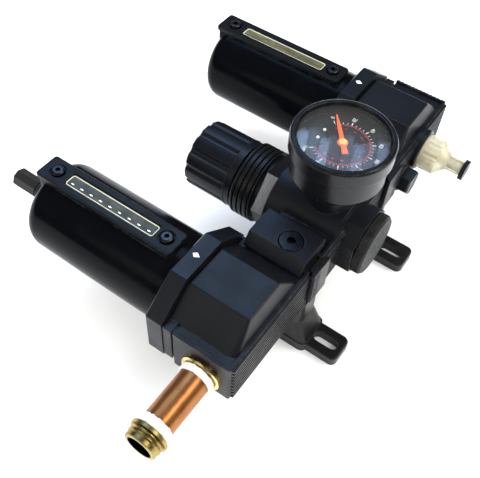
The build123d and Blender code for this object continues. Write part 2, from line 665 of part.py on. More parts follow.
inlet_adapter_outline = [
    (INLET_FACE_X - 14.0, ADAPTER_BORE_R),
    (TUBE_START_X + 11.0, ADAPTER_BORE_R),
    (TUBE_START_X + 11.0, SPIGOT_IN_TUBE_R),
    (TUBE_START_X, SPIGOT_IN_TUBE_R),
    (TUBE_START_X, INLET_FLANGE_R - 0.6),
    (TUBE_START_X - 0.6, INLET_FLANGE_R),
    (INLET_FACE_X, INLET_FLANGE_R),
    (INLET_FACE_X, PORT_THREAD_R - FIT),
    (INLET_FACE_X - 13.0, PORT_THREAD_R - FIT),
    (INLET_FACE_X - 14.0, PORT_THREAD_R - 1.0),
]
inlet_adapter = turned_on_x(0, PORT_Z, inlet_adapter_outline)
inlet_adapter.part.label = "inlet_adapter"
export_step(inlet_adapter.part, "parts/inlet_adapter.step")

tube_inner_r = TUBE_R - TUBE_WALL
copper_tube = tube_on_x(0, PORT_Z, TUBE_START_X, TUBE_END_X, TUBE_R, tube_inner_r)
copper_tube.part.label = "copper_tube"
export_step(copper_tube.part, "parts/copper_tube.step")

INLET_SLEEVE_END_X = 117.4
END_SLEEVE_START_X = 143.2
inlet_sleeve = tube_on_x(0, PORT_Z, TUBE_START_X, INLET_SLEEVE_END_X, 9.2, TUBE_R + FIT)
inlet_sleeve.part.label = "inlet_sleeve"
export_step(inlet_sleeve.part, "parts/inlet_sleeve.step")
end_sleeve = tube_on_x(0, PORT_Z, END_SLEEVE_START_X, TUBE_END_X, 8.7, TUBE_R + FIT)
end_sleeve.part.label = "end_sleeve"
export_step(end_sleeve.part, "parts/end_sleeve.step")

# The outer adapter's male end carries a fine turned thread.
END_RING_X = TUBE_END_X + 2.1
END_X = 156.4
THREAD_R = 9.0
THREAD_PITCH = 1.8
MOUTH_R = 6.4
THREAD_DEPTH = 0.5
thread_outline = [(END_RING_X, THREAD_R - THREAD_DEPTH)]
thread_turns = int((END_X - 0.8 - END_RING_X) / THREAD_PITCH)
for turn in range(thread_turns):
    crest_x = END_RING_X + (turn + 0.5) * THREAD_PITCH
    thread_outline.append((crest_x - 0.25, THREAD_R))
    thread_outline.append((crest_x + 0.25, THREAD_R))
    thread_outline.append((END_RING_X + (turn + 1) * THREAD_PITCH, THREAD_R - THREAD_DEPTH))
end_adapter_outline = [
    (TUBE_END_X - 10.0, ADAPTER_BORE_R),
    (TUBE_END_X - 10.0, SPIGOT_IN_TUBE_R),
    (TUBE_END_X, SPIGOT_IN_TUBE_R),
    (TUBE_END_X, END_FLANGE_R - 0.5),
    (TUBE_END_X + 0.5, END_FLANGE_R),
    (END_RING_X, END_FLANGE_R),
]
end_adapter_outline += thread_outline
end_adapter_outline += [
    (END_X - 0.4, THREAD_R - THREAD_DEPTH),
    (END_X, THREAD_R - 2 * THREAD_DEPTH),
    (END_X, MOUTH_R),
    (TUBE_END_X + 1.6, MOUTH_R),
    (TUBE_END_X + 0.2, ADAPTER_BORE_R),
]
end_adapter = turned_on_x(0, PORT_Z, end_adapter_outline)
end_adapter.part.label = "end_adapter"
export_step(end_adapter.part, "parts/end_adapter.step")


# ---- Brackets, clamps and the seals between the modules ----------------------------------------

JOINT_LOW_X = BLOCK_HALF_X
JOINT_HIGH_X = PITCH - BLOCK_HALF_X
JOINT_X = (JOINT_LOW_X + JOINT_HIGH_X) / 2
CLAMP_TOP_Z = 72.6
CLAMP_LOW_Z = AXIS_Z + BLOCK_HALF_Z + 0.1
CLAMP_LOW_Y = -20.4
CLAMP_HIGH_Y = 13.0
CLAMP_SCREW_R = 6.3
PLATE_HALF_X = 7.4
SEAL_GROOVE_R = 9.9
CLAMP_BOLT_R = 3.0
CLAMP_SEAT_DEPTH = 3.4
CLAMP_SEAT_Z = CLAMP_TOP_Z - CLAMP_SEAT_DEPTH
CLAMP_HEAD = 3.7
WEB_TOP_Z = 20.0
WEB_LENGTH = 34.0
WEB_ROUND = 4.0
TOP_PLATE = 2.2


def bracket(side):
    """Wall bracket between two modules: a ported block, a web and two slotted ears."""
    x = side * JOINT_X
    with BuildPart() as casting:
        with BuildSketch(Plane.XY.offset(WEB_TOP_Z)):
            with Locations((x, -1.5)):
                Rectangle(JOINT_HIGH_X - JOINT_LOW_X, 33.0)
        extrude(amount=BRACKET_BLOCK_Z - WEB_TOP_Z)
        with BuildSketch(Plane.XY.offset(EAR_THICK)):
            with Locations((x, 0)):
                RectangleRounded(2 * BRACKET_HALF_X + 3.4, WEB_LENGTH + 12.0, WEB_ROUND)
        with BuildSketch(Plane.XY.offset(WEB_TOP_Z)):
            with Locations((x, 0)):
                RectangleRounded(2 * BRACKET_HALF_X, WEB_LENGTH, WEB_ROUND)
        loft()
        with BuildSketch(Plane.XY.offset(WEB_TOP_Z)):
            with Locations((x, 0)):
                RectangleRounded(2 * BRACKET_HALF_X, WEB_LENGTH, WEB_ROUND)
        extrude(amount=16.8)
        with BuildSketch():
            with Locations((x, 0)):
                RectangleRounded(2 * BRACKET_HALF_X + 4.4, WEB_LENGTH + 13.0, WEB_ROUND)
                RectangleRounded(2 * EAR_HALF_X, 2 * EAR_END_Y, EAR_ROUND)
        extrude(amount=EAR_THICK)
        ear_rim = casting.faces().filter_by_position(Axis.Z, EAR_THICK, EAR_THICK).edges()
        fillet(ear_rim.filter_by(lambda edge: abs(edge.center().Y) > EAR_END_Y - EAR_ROUND), 1.0)
        with BuildSketch():
            with Locations((x, SLOT_Y), (x, -SLOT_Y)):
                SlotOverall(SLOT_LENGTH, 2 * SLOT_R, rotation=90)
        extrude(amount=EAR_THICK, mode=Mode.SUBTRACT)
        with BuildSketch(plane_up(x, BLOCK_HIGH_Y - 0.6)):
            with Locations((0, 5.0)):
                Rectangle(JOINT_HIGH_X - JOINT_LOW_X, 20.0)
        extrude(amount=RIB_HEIGHT + 1.0)
        with BuildSketch(plane_up(x, BLOCK_HIGH_Y + RIB_HEIGHT + 0.2)):
            with Locations((0, 3.4)):
                RectangleRounded(2 * PLATE_HALF_X, 24.0, 1.0)
        extrude(amount=TOP_PLATE)
        with BuildSketch(plane_up(x, BLOCK_HIGH_Y + RIB_HEIGHT + 0.2 + TOP_PLATE)):
            with Locations((-side * 4.6, 3.4)):
                with GridLocations(1, 2.1, 1, 10):
                    Rectangle(6.0, 0.9)
        extrude(amount=-0.8, mode=Mode.SUBTRACT)
        with BuildSketch(plane_side(x - 15.0, 0, PORT_Z, 1)):
            Circle(PASSAGE_R)
        extrude(amount=30.0, mode=Mode.SUBTRACT)
        for face_x, way in ((JOINT_LOW_X, 1), (JOINT_HIGH_X, -1)):
            with BuildSketch(plane_side(side * face_x, 0, PORT_Z, side * way)):
                Circle(SEAL_GROOVE_R + 1.2)
                Circle(SEAL_GROOVE_R - 1.2, mode=Mode.SUBTRACT)
            extrude(amount=2.1, mode=Mode.SUBTRACT)
        with BuildSketch(Plane.XY.offset(BRACKET_BLOCK_Z)):
            with Locations((x, 0)):
                Circle(CLAMP_BOLT_R)
        extrude(amount=-6.5, mode=Mode.SUBTRACT)
    return casting


def clamp(side):
    """Front clamp over the rims of two modules, with a seat for its flat screw."""
    near_x = side * 27.2
    flat_x = side * 45.5
    foot_x = side * (PITCH - ROOF_HALF_FOOT - 0.3)
    outline = [
        (near_x, CLAMP_LOW_Z),
        (near_x, CLAMP_TOP_Z),
        (flat_x, CLAMP_TOP_Z),
        (foot_x, CLAMP_LOW_Z + 0.8),
        (foot_x, CLAMP_LOW_Z),
    ]
    with BuildPart() as jaw:
        with BuildSketch(plane_down(0, CLAMP_HIGH_Y, 0)):
            with BuildLine():
                Polyline(*outline, close=True)
            make_face()
        extrude(amount=CLAMP_HIGH_Y - CLAMP_LOW_Y)
        fillet(jaw.edges().filter_by(Axis.Y).group_by(Axis.Z)[-1], 0.8)
        with BuildSketch(Plane.XY.offset(BRACKET_BLOCK_Z)):
            with Locations((side * JOINT_X, (CLAMP_LOW_Y + CLAMP_HIGH_Y) / 2 + 1.0)):
                Rectangle(JOINT_HIGH_X - JOINT_LOW_X - 0.4, CLAMP_HIGH_Y - CLAMP_LOW_Y - 2.0)
        extrude(amount=CLAMP_LOW_Z - BRACKET_BLOCK_Z)
        with BuildSketch(Plane.XY.offset(CLAMP_TOP_Z)):
            with Locations((side * JOINT_X, 0)):
                Circle(CLAMP_SCREW_R + 0.35)
        extrude(amount=-CLAMP_SEAT_DEPTH, mode=Mode.SUBTRACT)
        with BuildSketch(Plane.XY.offset(CLAMP_TOP_Z)):
            with Locations((side * JOINT_X, 0)):
                Circle(CLAMP_BOLT_R + 0.3)
        extrude(amount=-10.0, mode=Mode.SUBTRACT)
        with BuildSketch(plane_down(side * 22.0, CLAMP_HIGH_Y, AXIS_Z)):
            with Locations((-side * 22.0, 0)):
                Circle(TRUNK_R + 0.4)
        extrude(amount=CLAMP_HIGH_Y - CLAMP_LOW_Y, mode=Mode.SUBTRACT)
    return jaw


for side, place in ((1, "filter_side"), (-1, "lubricator_side")):
    bracket_casting = bracket(side)
    bracket_casting.part.label = f"bracket_{place}"
    export_step(bracket_casting.part, f"parts/bracket_{place}.step")
    clamp_jaw = clamp(side)
    clamp_jaw.part.label = f"clamp_{place}"
    export_step(clamp_jaw.part, f"parts/clamp_{place}.step")

with BuildPart() as clamp_screws:
    with BuildSketch(Plane.XY.offset(BRACKET_BLOCK_Z - 6.0)):
        with Locations((JOINT_X, 0), (-JOINT_X, 0)):
            Circle(CLAMP_BOLT_R - FIT)
    extrude(amount=CLAMP_SEAT_Z - BRACKET_BLOCK_Z + 6.0)
    with BuildSketch(Plane.XY.offset(CLAMP_SEAT_Z)):
        with Locations((JOINT_X, 0), (-JOINT_X, 0)):
            Circle(CLAMP_SCREW_R)
    extrude(amount=CLAMP_HEAD)
    chamfer(clamp_screws.faces().sort_by(Axis.Z)[-2:].edges(), 0.4)
    with BuildSketch(Plane.XY.offset(CLAMP_SEAT_Z + CLAMP_HEAD)):
        with Locations((JOINT_X, 0), (-JOINT_X, 0)):
            RegularPolygon(2.5, 6)
    extrude(amount=-2.6, mode=Mode.SUBTRACT)
clamp_screws.part.label = "clamp_screws"
export_step(clamp_screws.part, "parts/clamp_screws.step")

with BuildPart() as joint_o_rings:
    for side in (1, -1):
        for face_x, way in ((JOINT_LOW_X, 1), (JOINT_HIGH_X, -1)):
            ring_x = side * (face_x + way * 1.02)
            with BuildSketch(Plane(origin=(ring_x, 0, PORT_Z))):
                with Locations((0, SEAL_GROOVE_R)):
                    Circle(1.0)
            revolve(axis=Axis((ring_x, 0, PORT_Z), (1, 0, 0)))
joint_o_rings.part.label = "joint_o_rings"
export_step(joint_o_rings.part, "parts/joint_o_rings.step")


# ---- Regulator: bonnet, knob, spring, diaphragm and valve ---------------------------------------

BONNET_TUBE_R = 15.4
BONNET_END_Y = -74.0
SCREW_R = 4.0
RING_COUNT = 4
RING_PITCH = 3.1
HEX_NECK_R = 19.2
RING_TOP_Y = HEX_LOW_Y - 2.0
BONNET_CROWN = 4.0
SCREW_TOP_Y = -40.0
SCREW_COLLAR_R = 7.0

with BuildPart() as bonnet:
    with BuildSketch(plane_down(0, BONNET_TOP_Y)):
        Circle(SPIGOT_R)
    extrude(amount=BONNET_TOP_Y - TRUNK_LOW_Y)
    with BuildSketch(plane_down(0, TRUNK_LOW_Y)):
        RegularPolygon(HEX_CORNER_R, 6, rotation=HEX_TURN)
    extrude(amount=TRUNK_LOW_Y - HEX_LOW_Y)
    chamfer(bonnet.faces().sort_by(Axis.Y)[0].edges(), 0.6)
    with BuildSketch(plane_down(0, HEX_LOW_Y)):
        Circle(HEX_NECK_R)
    extrude(amount=2.4)
    with BuildSketch(plane_down(0, RING_TOP_Y)):
        Circle(RING_R)
    extrude(amount=RING_TOP_Y - RING_END_Y)
    fillet(bonnet.edges().filter_by(GeomType.CIRCLE).sort_by(Axis.Y)[0], 0.8)
    for ring in range(RING_COUNT):
        groove_y = RING_TOP_Y - 1.2 - ring * RING_PITCH
        with BuildSketch(Plane(origin=(0, groove_y, AXIS_Z))):
            with Locations((RING_R, 0)):
                Rectangle(3.0, 1.2)
        revolve(axis=Axis((0, 0, AXIS_Z), (0, 1, 0)), mode=Mode.SUBTRACT)
    with BuildSketch(plane_down(0, RING_END_Y)):
        Circle(BONNET_TUBE_R)
    extrude(amount=RING_END_Y - BONNET_END_Y)
    with BuildSketch(plane_down(0, BONNET_TOP_Y)):
        Circle(BONNET_BORE_R)
    extrude(amount=BONNET_TOP_Y - BONNET_END_Y - BONNET_CROWN, mode=Mode.SUBTRACT)
    with BuildSketch(plane_down(0, BONNET_END_Y + BONNET_CROWN)):
        Circle(SCREW_R + RUNNING)
    extrude(amount=BONNET_CROWN, mode=Mode.SUBTRACT)
bonnet.part.label = "bonnet"
export_step(bonnet.part, "parts/bonnet.step")

SCREW_HEX_R = 4.6
with BuildPart() as adjusting_screw:
    with BuildSketch(plane_down(0, SCREW_TOP_Y)):
        Circle(SCREW_R)
    extrude(amount=SCREW_TOP_Y - BONNET_END_Y)
    with BuildSketch(plane_down(0, BONNET_END_Y + 6.8)):
        Circle(SCREW_COLLAR_R)
    extrude(amount=2.4)
    with BuildSketch(plane_down(0, BONNET_END_Y)):
        RegularPolygon(SCREW_HEX_R, 6)
    extrude(amount=6.6)
adjusting_screw.part.label = "adjusting_screw"
export_step(adjusting_screw.part, "parts/adjusting_screw.step")

KNOB_WALL_Y = -78.4
SCALLOP_R = 3.6
SCALLOP_DEPTH = 1.0
KNOB_BAND = 3.4
KNOB_HUB_R = 8.0
KNOB_FLUTE_Y = KNOB_SKIRT_Y - KNOB_BAND - 0.6
with BuildPart() as adjusting_knob:
    with BuildSketch(plane_down(0, KNOB_FLUTE_Y)):
        Circle(KNOB_R)
        with PolarLocations(KNOB_R + SCALLOP_R - SCALLOP_DEPTH, KNOB_FLUTES, start_angle=15):
            Circle(SCALLOP_R, mode=Mode.SUBTRACT)
    extrude(amount=KNOB_FLUTE_Y - KNOB_LOW_Y)
    fillet(adjusting_knob.faces().sort_by(Axis.Y)[0].edges(), 1.5)
    with BuildSketch(plane_down(0, KNOB_SKIRT_Y - KNOB_BAND)):
        Circle(KNOB_R + 0.3)
    extrude(amount=0.7)
    with BuildSketch(plane_down(0, KNOB_SKIRT_Y)):
        Circle(KNOB_R)
    extrude(amount=KNOB_BAND)
    with BuildSketch(plane_down(0, KNOB_SKIRT_Y)):
        Circle(BONNET_TUBE_R + 0.7)
    extrude(amount=KNOB_SKIRT_Y - KNOB_WALL_Y, mode=Mode.SUBTRACT)
    with BuildSketch(plane_up(0, KNOB_WALL_Y)):
        Circle(KNOB_HUB_R)
    extrude(amount=3.6)
    with BuildSketch(plane_up(0, KNOB_WALL_Y - 2.4)):
        RegularPolygon(SCREW_HEX_R + 0.15, 6)
    extrude(amount=6.0, mode=Mode.SUBTRACT)
adjusting_knob.part.label = "adjusting_knob"
export_step(adjusting_knob.part, "parts/adjusting_knob.step")

SEAT_LOW_Y = -56.0
SEAT_THICK = 3.6
spring_seat_outline = [
    (SCREW_R + RUNNING, SEAT_LOW_Y),
    (BONNET_BORE_R - 0.6, SEAT_LOW_Y),
    (BONNET_BORE_R - 0.6, SEAT_LOW_Y + SEAT_THICK),
    (6.0, SEAT_LOW_Y + SEAT_THICK),
    (6.0, SEAT_LOW_Y + SEAT_THICK + 3.0),
    (SCREW_R + RUNNING, SEAT_LOW_Y + SEAT_THICK + 3.0),
]
spring_seat = turned(0, AXIS_Z, spring_seat_outline)
spring_seat.part.label = "spring_seat"
export_step(spring_seat.part, "parts/spring_seat.step")

PLATE_LOW_Y = -26.0
PLATE_HIGH_Y = BONNET_TOP_Y
diaphragm_plate_outline = [
    (0, PLATE_HIGH_Y),
    (12.4, PLATE_HIGH_Y),
    (12.4, PLATE_LOW_Y + 1.6),
    (6.6, PLATE_LOW_Y + 1.6),
    (6.6, PLATE_LOW_Y),
    (0, PLATE_LOW_Y),
]
diaphragm_plate = turned(0, AXIS_Z, diaphragm_plate_outline)
diaphragm_plate.part.label = "diaphragm_plate"
export_step(diaphragm_plate.part, "parts/diaphragm_plate.step")
range_spring = coil_spring(SEAT_LOW_Y + SEAT_THICK + 0.1, PLATE_LOW_Y + 1.5, 9.6, 1.3, 6)
range_spring.part.label = "range_spring"
export_step(range_spring.part, "parts/range_spring.step")

with BuildPart() as diaphragm:
    with BuildSketch(plane_down(0, DIAPHRAGM_SEAT_Y)):
        Circle(SPIGOT_R - RUNNING)
    extrude(amount=DIAPHRAGM_THICK)
diaphragm.part.label = "diaphragm"
export_step(diaphragm.part, "parts/diaphragm.step")

POPPET_FACE_Y = -8.0
POPPET_HEAD_R = 6.6
POPPET_NECK_R = 3.6
POPPET_STEP = 3.0
POPPET_ROD_R = 2.0
POPPET_SEAL = 1.45
VALVE_SEAT_BORE_R = 4.6
with BuildPart() as valve_seat:
    with BuildSketch(plane_up(0, VALVE_BORE_LOW_Y)):
        Circle(VALVE_BORE_R - FIT)
        Circle(VALVE_SEAT_BORE_R, mode=Mode.SUBTRACT)
    extrude(amount=POPPET_FACE_Y - VALVE_BORE_LOW_Y - 1.5)
valve_seat.part.label = "valve_seat"
export_step(valve_seat.part, "parts/valve_seat.step")

with BuildPart() as poppet_seal:
    with BuildSketch(plane_down(0, POPPET_FACE_Y)):
        Circle(POPPET_HEAD_R - 0.2)
        Circle(POPPET_ROD_R + RUNNING, mode=Mode.SUBTRACT)
    extrude(amount=POPPET_SEAL)
poppet_seal.part.label = "poppet_seal"
export_step(poppet_seal.part, "parts/poppet_seal.step")

with BuildPart() as valve_poppet:
    with BuildSketch(plane_up(0, POPPET_FACE_Y)):
        Circle(POPPET_HEAD_R)
    extrude(amount=POPPET_STEP)
    with BuildSketch(plane_up(0, POPPET_FACE_Y + POPPET_STEP)):
        Circle(POPPET_NECK_R)
    extrude(amount=POPPET_STEP)
    with BuildSketch(plane_down(0, POPPET_FACE_Y)):
        Circle(POPPET_ROD_R)
    extrude(amount=POPPET_FACE_Y - DIAPHRAGM_SEAT_Y)
valve_poppet.part.label = "valve_poppet"
export_step(valve_poppet.part, "parts/valve_poppet.step")

CAP_BORE_LOW_Y = 16.0
poppet_spring = coil_spring(POPPET_FACE_Y + POPPET_STEP + FIT, CAP_LOW_Y - 4.0, 5.0, 0.6, 7)
poppet_spring.part.label = "poppet_spring"
export_step(poppet_spring.part, "parts/poppet_spring.step")

# Valve cap: knurled rim, plain bevelled end face and a hollow spigot in the valve bore.
KNURL_TEETH = 60
KNURL_DEPTH = 0.5
CAP_BAND = 1.4
CAP_SPIGOT_WALL = 2.55
with BuildPart() as valve_cap:
    knurl = []
    for tooth in range(2 * KNURL_TEETH):
        radius = CAP_R if tooth % 2 else CAP_R - KNURL_DEPTH
        angle = math.pi * tooth / KNURL_TEETH
        knurl.append((radius * math.cos(angle), radius * math.sin(angle)))
    with BuildSketch(plane_up(0, CAP_LOW_Y)):
        with BuildLine():
            Polyline(*knurl, close=True)
        make_face()
    extrude(amount=CAP_HIGH_Y - CAP_BAND - CAP_LOW_Y)
    with BuildSketch(plane_up(0, CAP_HIGH_Y - CAP_BAND)):
        Circle(CAP_R - 0.3)
    extrude(amount=CAP_BAND)
    chamfer(valve_cap.faces().sort_by(Axis.Y)[-1].edges(), 1.1)
    with BuildSketch(plane_down(0, CAP_LOW_Y)):
        Circle(VALVE_BORE_R - FIT)
        Circle(VALVE_BORE_R - FIT - CAP_SPIGOT_WALL, mode=Mode.SUBTRACT)
    extrude(amount=CAP_LOW_Y - CAP_BORE_LOW_Y)
    with BuildSketch(plane_up(0, CAP_LOW_Y - 3.9)):
        Circle(6.5)
    extrude(amount=4.0)
valve_cap.part.label = "valve_cap"
export_step(valve_cap.part, "parts/valve_cap.step")


# ---- Pressure gauge ----------------------------------------------------------------------------

DIAL_Z = 107.6
LENS_Z = 111.6
BEZEL_Z = 108.4
LENS_THICK = 1.4
CASE_WALL = 1.8
CASE_ROUND = 1.6
CASE_FLOOR_Z = GAUGE_BACK_Z + CASE_WALL
STEM_DEPTH = 11.0
STEM_HEX_R = 8.1
STEM_HEX = 7.6
STEM_NECK_R = 5.4
STEM_BORE_R = 1.6

with BuildPart() as gauge_stem:
    with BuildSketch(Plane.XY.offset(GAUGE_BOSS_Z - STEM_DEPTH)):
        Circle(GAUGE_PORT_R - FIT)
    extrude(amount=STEM_DEPTH)
    with BuildSketch(Plane.XY.offset(GAUGE_BOSS_Z)):
        RegularPolygon(STEM_HEX_R, 6)
    extrude(amount=STEM_HEX)
    with BuildSketch(Plane.XY.offset(GAUGE_BOSS_Z + STEM_HEX)):
        Circle(STEM_NECK_R)
    extrude(amount=GAUGE_BACK_Z - GAUGE_BOSS_Z - STEM_HEX)
    with BuildSketch(Plane.XY.offset(GAUGE_BOSS_Z - STEM_DEPTH)):
        Circle(STEM_BORE_R)
    extrude(amount=STEM_DEPTH + STEM_HEX + 1.4, mode=Mode.SUBTRACT)
gauge_stem.part.label = "gauge_stem"
export_step(gauge_stem.part, "parts/gauge_stem.step")

with BuildPart() as gauge_case:
    with BuildSketch(Plane.XY.offset(GAUGE_BACK_Z)):
        Circle(GAUGE_CASE_R)
    extrude(amount=BEZEL_Z - GAUGE_BACK_Z)
    fillet(gauge_case.faces().sort_by(Axis.Z)[0].edges(), CASE_ROUND)
    with BuildSketch(Plane.XY.offset(CASE_FLOOR_Z)):
        Circle(GAUGE_CASE_R - CASE_WALL)
    extrude(amount=BEZEL_Z - GAUGE_BACK_Z, mode=Mode.SUBTRACT)
gauge_case.part.label = "gauge_case"
export_step(gauge_case.part, "parts/gauge_case.step")

bezel_outline = [
    (GAUGE_CASE_R + FIT, BEZEL_Z - 3.4),
    (GAUGE_R - 0.5, BEZEL_Z - 3.4),
    (GAUGE_R, BEZEL_Z - 2.9),
    (GAUGE_R, GAUGE_FRONT_Z - 1.4),
    (GAUGE_R - 0.5, GAUGE_FRONT_Z - 0.4),
    (GAUGE_R - 1.4, GAUGE_FRONT_Z),
    (GAUGE_R - 2.8, GAUGE_FRONT_Z),
    (GAUGE_R - 3.6, LENS_Z + 1.6),
    (GAUGE_R - 3.6, LENS_Z + 1.5),
    (GAUGE_R - 2.2, LENS_Z + 1.5),
    (GAUGE_R - 2.2, LENS_Z - 0.1),
    (GAUGE_R - 2.2, BEZEL_Z + 0.1),
    (GAUGE_CASE_R + FIT, BEZEL_Z + 0.1),
]
gauge_bezel = turned_on_z(0, 0, bezel_outline)
gauge_bezel.part.label = "gauge_bezel"
export_step(gauge_bezel.part, "parts/gauge_bezel.step")

lens_outline = [
    (0, LENS_Z),
    (GAUGE_R - 2.3, LENS_Z),
    (GAUGE_R - 2.3, LENS_Z + LENS_THICK),
    (0, LENS_Z + LENS_THICK),
]
gauge_lens = turned_on_z(0, 0, lens_outline)
gauge_lens.part.label = "gauge_lens"
export_step(gauge_lens.part, "parts/gauge_lens.step")

with BuildPart() as gauge_dial:
    with BuildSketch(Plane.XY.offset(DIAL_Z)):
        Circle(GAUGE_CASE_R - 1.9)
        Circle(1.2, mode=Mode.SUBTRACT)
    extrude(amount=0.7)
gauge_dial.part.label = "gauge_dial"
export_step(gauge_dial.part, "parts/gauge_dial.step")

# Needle: a long tapered blade, a short counterweight and a spindle through the dial.
NEEDLE_Z = DIAL_Z + 1.5
NEEDLE_THICK = 0.6
NEEDLE_TIP_R = 19.4
SPINDLE_R = 0.8
SPINDLE_LOW_Z = DIAL_Z - 5.0
HUB_Z = NEEDLE_Z + NEEDLE_THICK
HUB_R = 2.0
needle_plane = Plane(origin=(0, 0, NEEDLE_Z)).rotated((0, 0, NEEDLE_REST))
with BuildPart() as gauge_needle:
    with BuildSketch(needle_plane):
        with BuildLine():
            Polyline(
                (-7.4, 1.5), (-7.4, -1.5), (0, -1.15), (11.0, -0.95), (NEEDLE_TIP_R, -0.3),
                (NEEDLE_TIP_R, 0.3), (11.0, 0.95), (0, 1.15), close=True,
            )
        make_face()
        Circle(2.6)
    extrude(amount=NEEDLE_THICK)
    with BuildSketch(Plane.XY.offset(SPINDLE_LOW_Z)):
        Circle(SPINDLE_R)
    extrude(amount=NEEDLE_Z + 0.3 - SPINDLE_LOW_Z)
gauge_needle.part.label = "gauge_needle"
export_step(gauge_needle.part, "parts/gauge_needle.step")

needle_hub_outline = [
    (0, HUB_Z),
    (HUB_R, HUB_Z),
    (HUB_R, HUB_Z + 0.6),
    (HUB_R - 0.5, HUB_Z + 1.0),
    (0, HUB_Z + 1.0),
]
needle_hub = turned_on_z(0, 0, needle_hub_outline)
needle_hub.part.label = "needle_hub"
export_step(needle_hub.part, "parts/needle_hub.step")

BOURDON_R = 15.5
BOURDON_Z = 98.0
with BuildPart() as bourdon_tube:
    with BuildSketch(Plane(origin=(0, 0, BOURDON_Z), x_dir=(1, 0, 0), z_dir=(0, -1, 0))):
        with Locations((BOURDON_R, 0)):
            Ellipse(1.3, 3.6)
    revolve(axis=Axis((0, 0, BOURDON_Z), (0, 0, 1)), revolution_arc=255)
    with BuildSketch(Plane.XY.offset(CASE_FLOOR_Z)):
        with Locations((BOURDON_R, 0)):
            Rectangle(4.6, 7.0)
    extrude(amount=4.0)
bourdon_tube.part.label = "bourdon_tube"
export_step(bourdon_tube.part, "parts/bourdon_tube.step")

with BuildPart() as gauge_movement:
    with BuildSketch(Plane.XY.offset(CASE_FLOOR_Z)):
        Circle(6.5)
    extrude(amount=DIAL_Z - CASE_FLOOR_Z - 0.8)
    with BuildSketch(Plane.XY.offset(GAUGE_BACK_Z + 6.0)):
        Circle(SPINDLE_R + RUNNING)
    extrude(amount=12.0, mode=Mode.SUBTRACT)
gauge_movement.part.label = "gauge_movement"
export_step(gauge_movement.part, "parts/gauge_movement.step")


# ---- Lubricator fittings -----------------------------------------------------------------------

PAD_Y = BLOCK_HIGH_Y + RIB_HEIGHT + 0.4
DOME_R = 10.3
DOME_FLOOR_Y = PAD_Y + 1.3
dome_ring_outline = [
    (DOME_R - 1.0, PAD_Y),
    (DOME_R + 2.0, PAD_Y),
    (DOME_R + 2.0, PAD_Y + 2.2),
    (DOME_R + 1.4, PAD_Y + 2.9),
    (DOME_R + 0.4, PAD_Y + 2.9),
    (DOME_R + 0.4, PAD_Y + 1.2),
    (DOME_R - 1.0, PAD_Y + 1.2),
]
dome_ring = turned(lubricator_x, DOME_Z, dome_ring_outline)
dome_ring.part.label = "dome_ring"
export_step(dome_ring.part, "parts/dome_ring.step")

# Sight dome: fluted wide cup, shoulder, and a neck with ribs that widens at the top.
DOME_SHOULDER_Y = 30.6
DOME_NECK_Y = 36.4
DOME_TOP_Y = 44.4
DOME_FLUTES = 10
FLUTE_R = 1.9
NECK_R = 4.3
NECK_BORE_R = 2.6
with BuildPart() as sight_dome:
    with BuildSketch(plane_up(lubricator_x, DOME_FLOOR_Y, DOME_Z)):
        Circle(DOME_R)
    extrude(amount=DOME_SHOULDER_Y - DOME_FLOOR_Y)
    with BuildSketch(plane_up(lubricator_x, DOME_SHOULDER_Y, DOME_Z)):
        Circle(DOME_R - 0.7)
    with BuildSketch(plane_up(lubricator_x, DOME_NECK_Y, DOME_Z)):
        Circle(NECK_R)
    loft()
    with BuildSketch(plane_up(lubricator_x, DOME_NECK_Y, DOME_Z)):
        Circle(NECK_R)
    extrude(amount=DOME_TOP_Y - DOME_NECK_Y)
    with BuildSketch(plane_up(lubricator_x, DOME_NECK_Y - 2.0, DOME_Z)):
        with PolarLocations(0, 4):
            Rectangle(11.0, 1.0)
    extrude(amount=DOME_TOP_Y - DOME_NECK_Y + 2.0)
    with BuildSketch(plane_up(lubricator_x, PAD_Y + 4.6, DOME_Z)):
        with PolarLocations(DOME_R + 1.1, DOME_FLUTES):
            Circle(FLUTE_R)
    extrude(amount=DOME_SHOULDER_Y - PAD_Y, mode=Mode.SUBTRACT)
    with BuildSketch(plane_up(lubricator_x, DOME_FLOOR_Y, DOME_Z)):
        Circle(DOME_R - 2.4)
    extrude(amount=DOME_SHOULDER_Y - PAD_Y - 3.2, mode=Mode.SUBTRACT)
    with BuildSketch(plane_up(lubricator_x, DOME_SHOULDER_Y - 2.5, DOME_Z)):
        Circle(NECK_BORE_R)
    extrude(amount=DOME_TOP_Y - DOME_SHOULDER_Y + 2.5, mode=Mode.SUBTRACT)
sight_dome.part.label = "sight_dome"
export_step(sight_dome.part, "parts/sight_dome.step")

drip_nozzle_outline = [
    (0.7, PAD_Y + 1.6),
    (1.5, PAD_Y + 1.6),
    (2.0, PAD_Y + 5.0),
    (2.5, PAD_Y + 10.2),
    (2.5, DOME_SHOULDER_Y + 1.0),
    (0.7, DOME_SHOULDER_Y + 1.0),
]
drip_nozzle = turned(lubricator_x, DOME_Z, drip_nozzle_outline)
drip_nozzle.part.label = "drip_nozzle"
export_step(drip_nozzle.part, "parts/drip_nozzle.step")

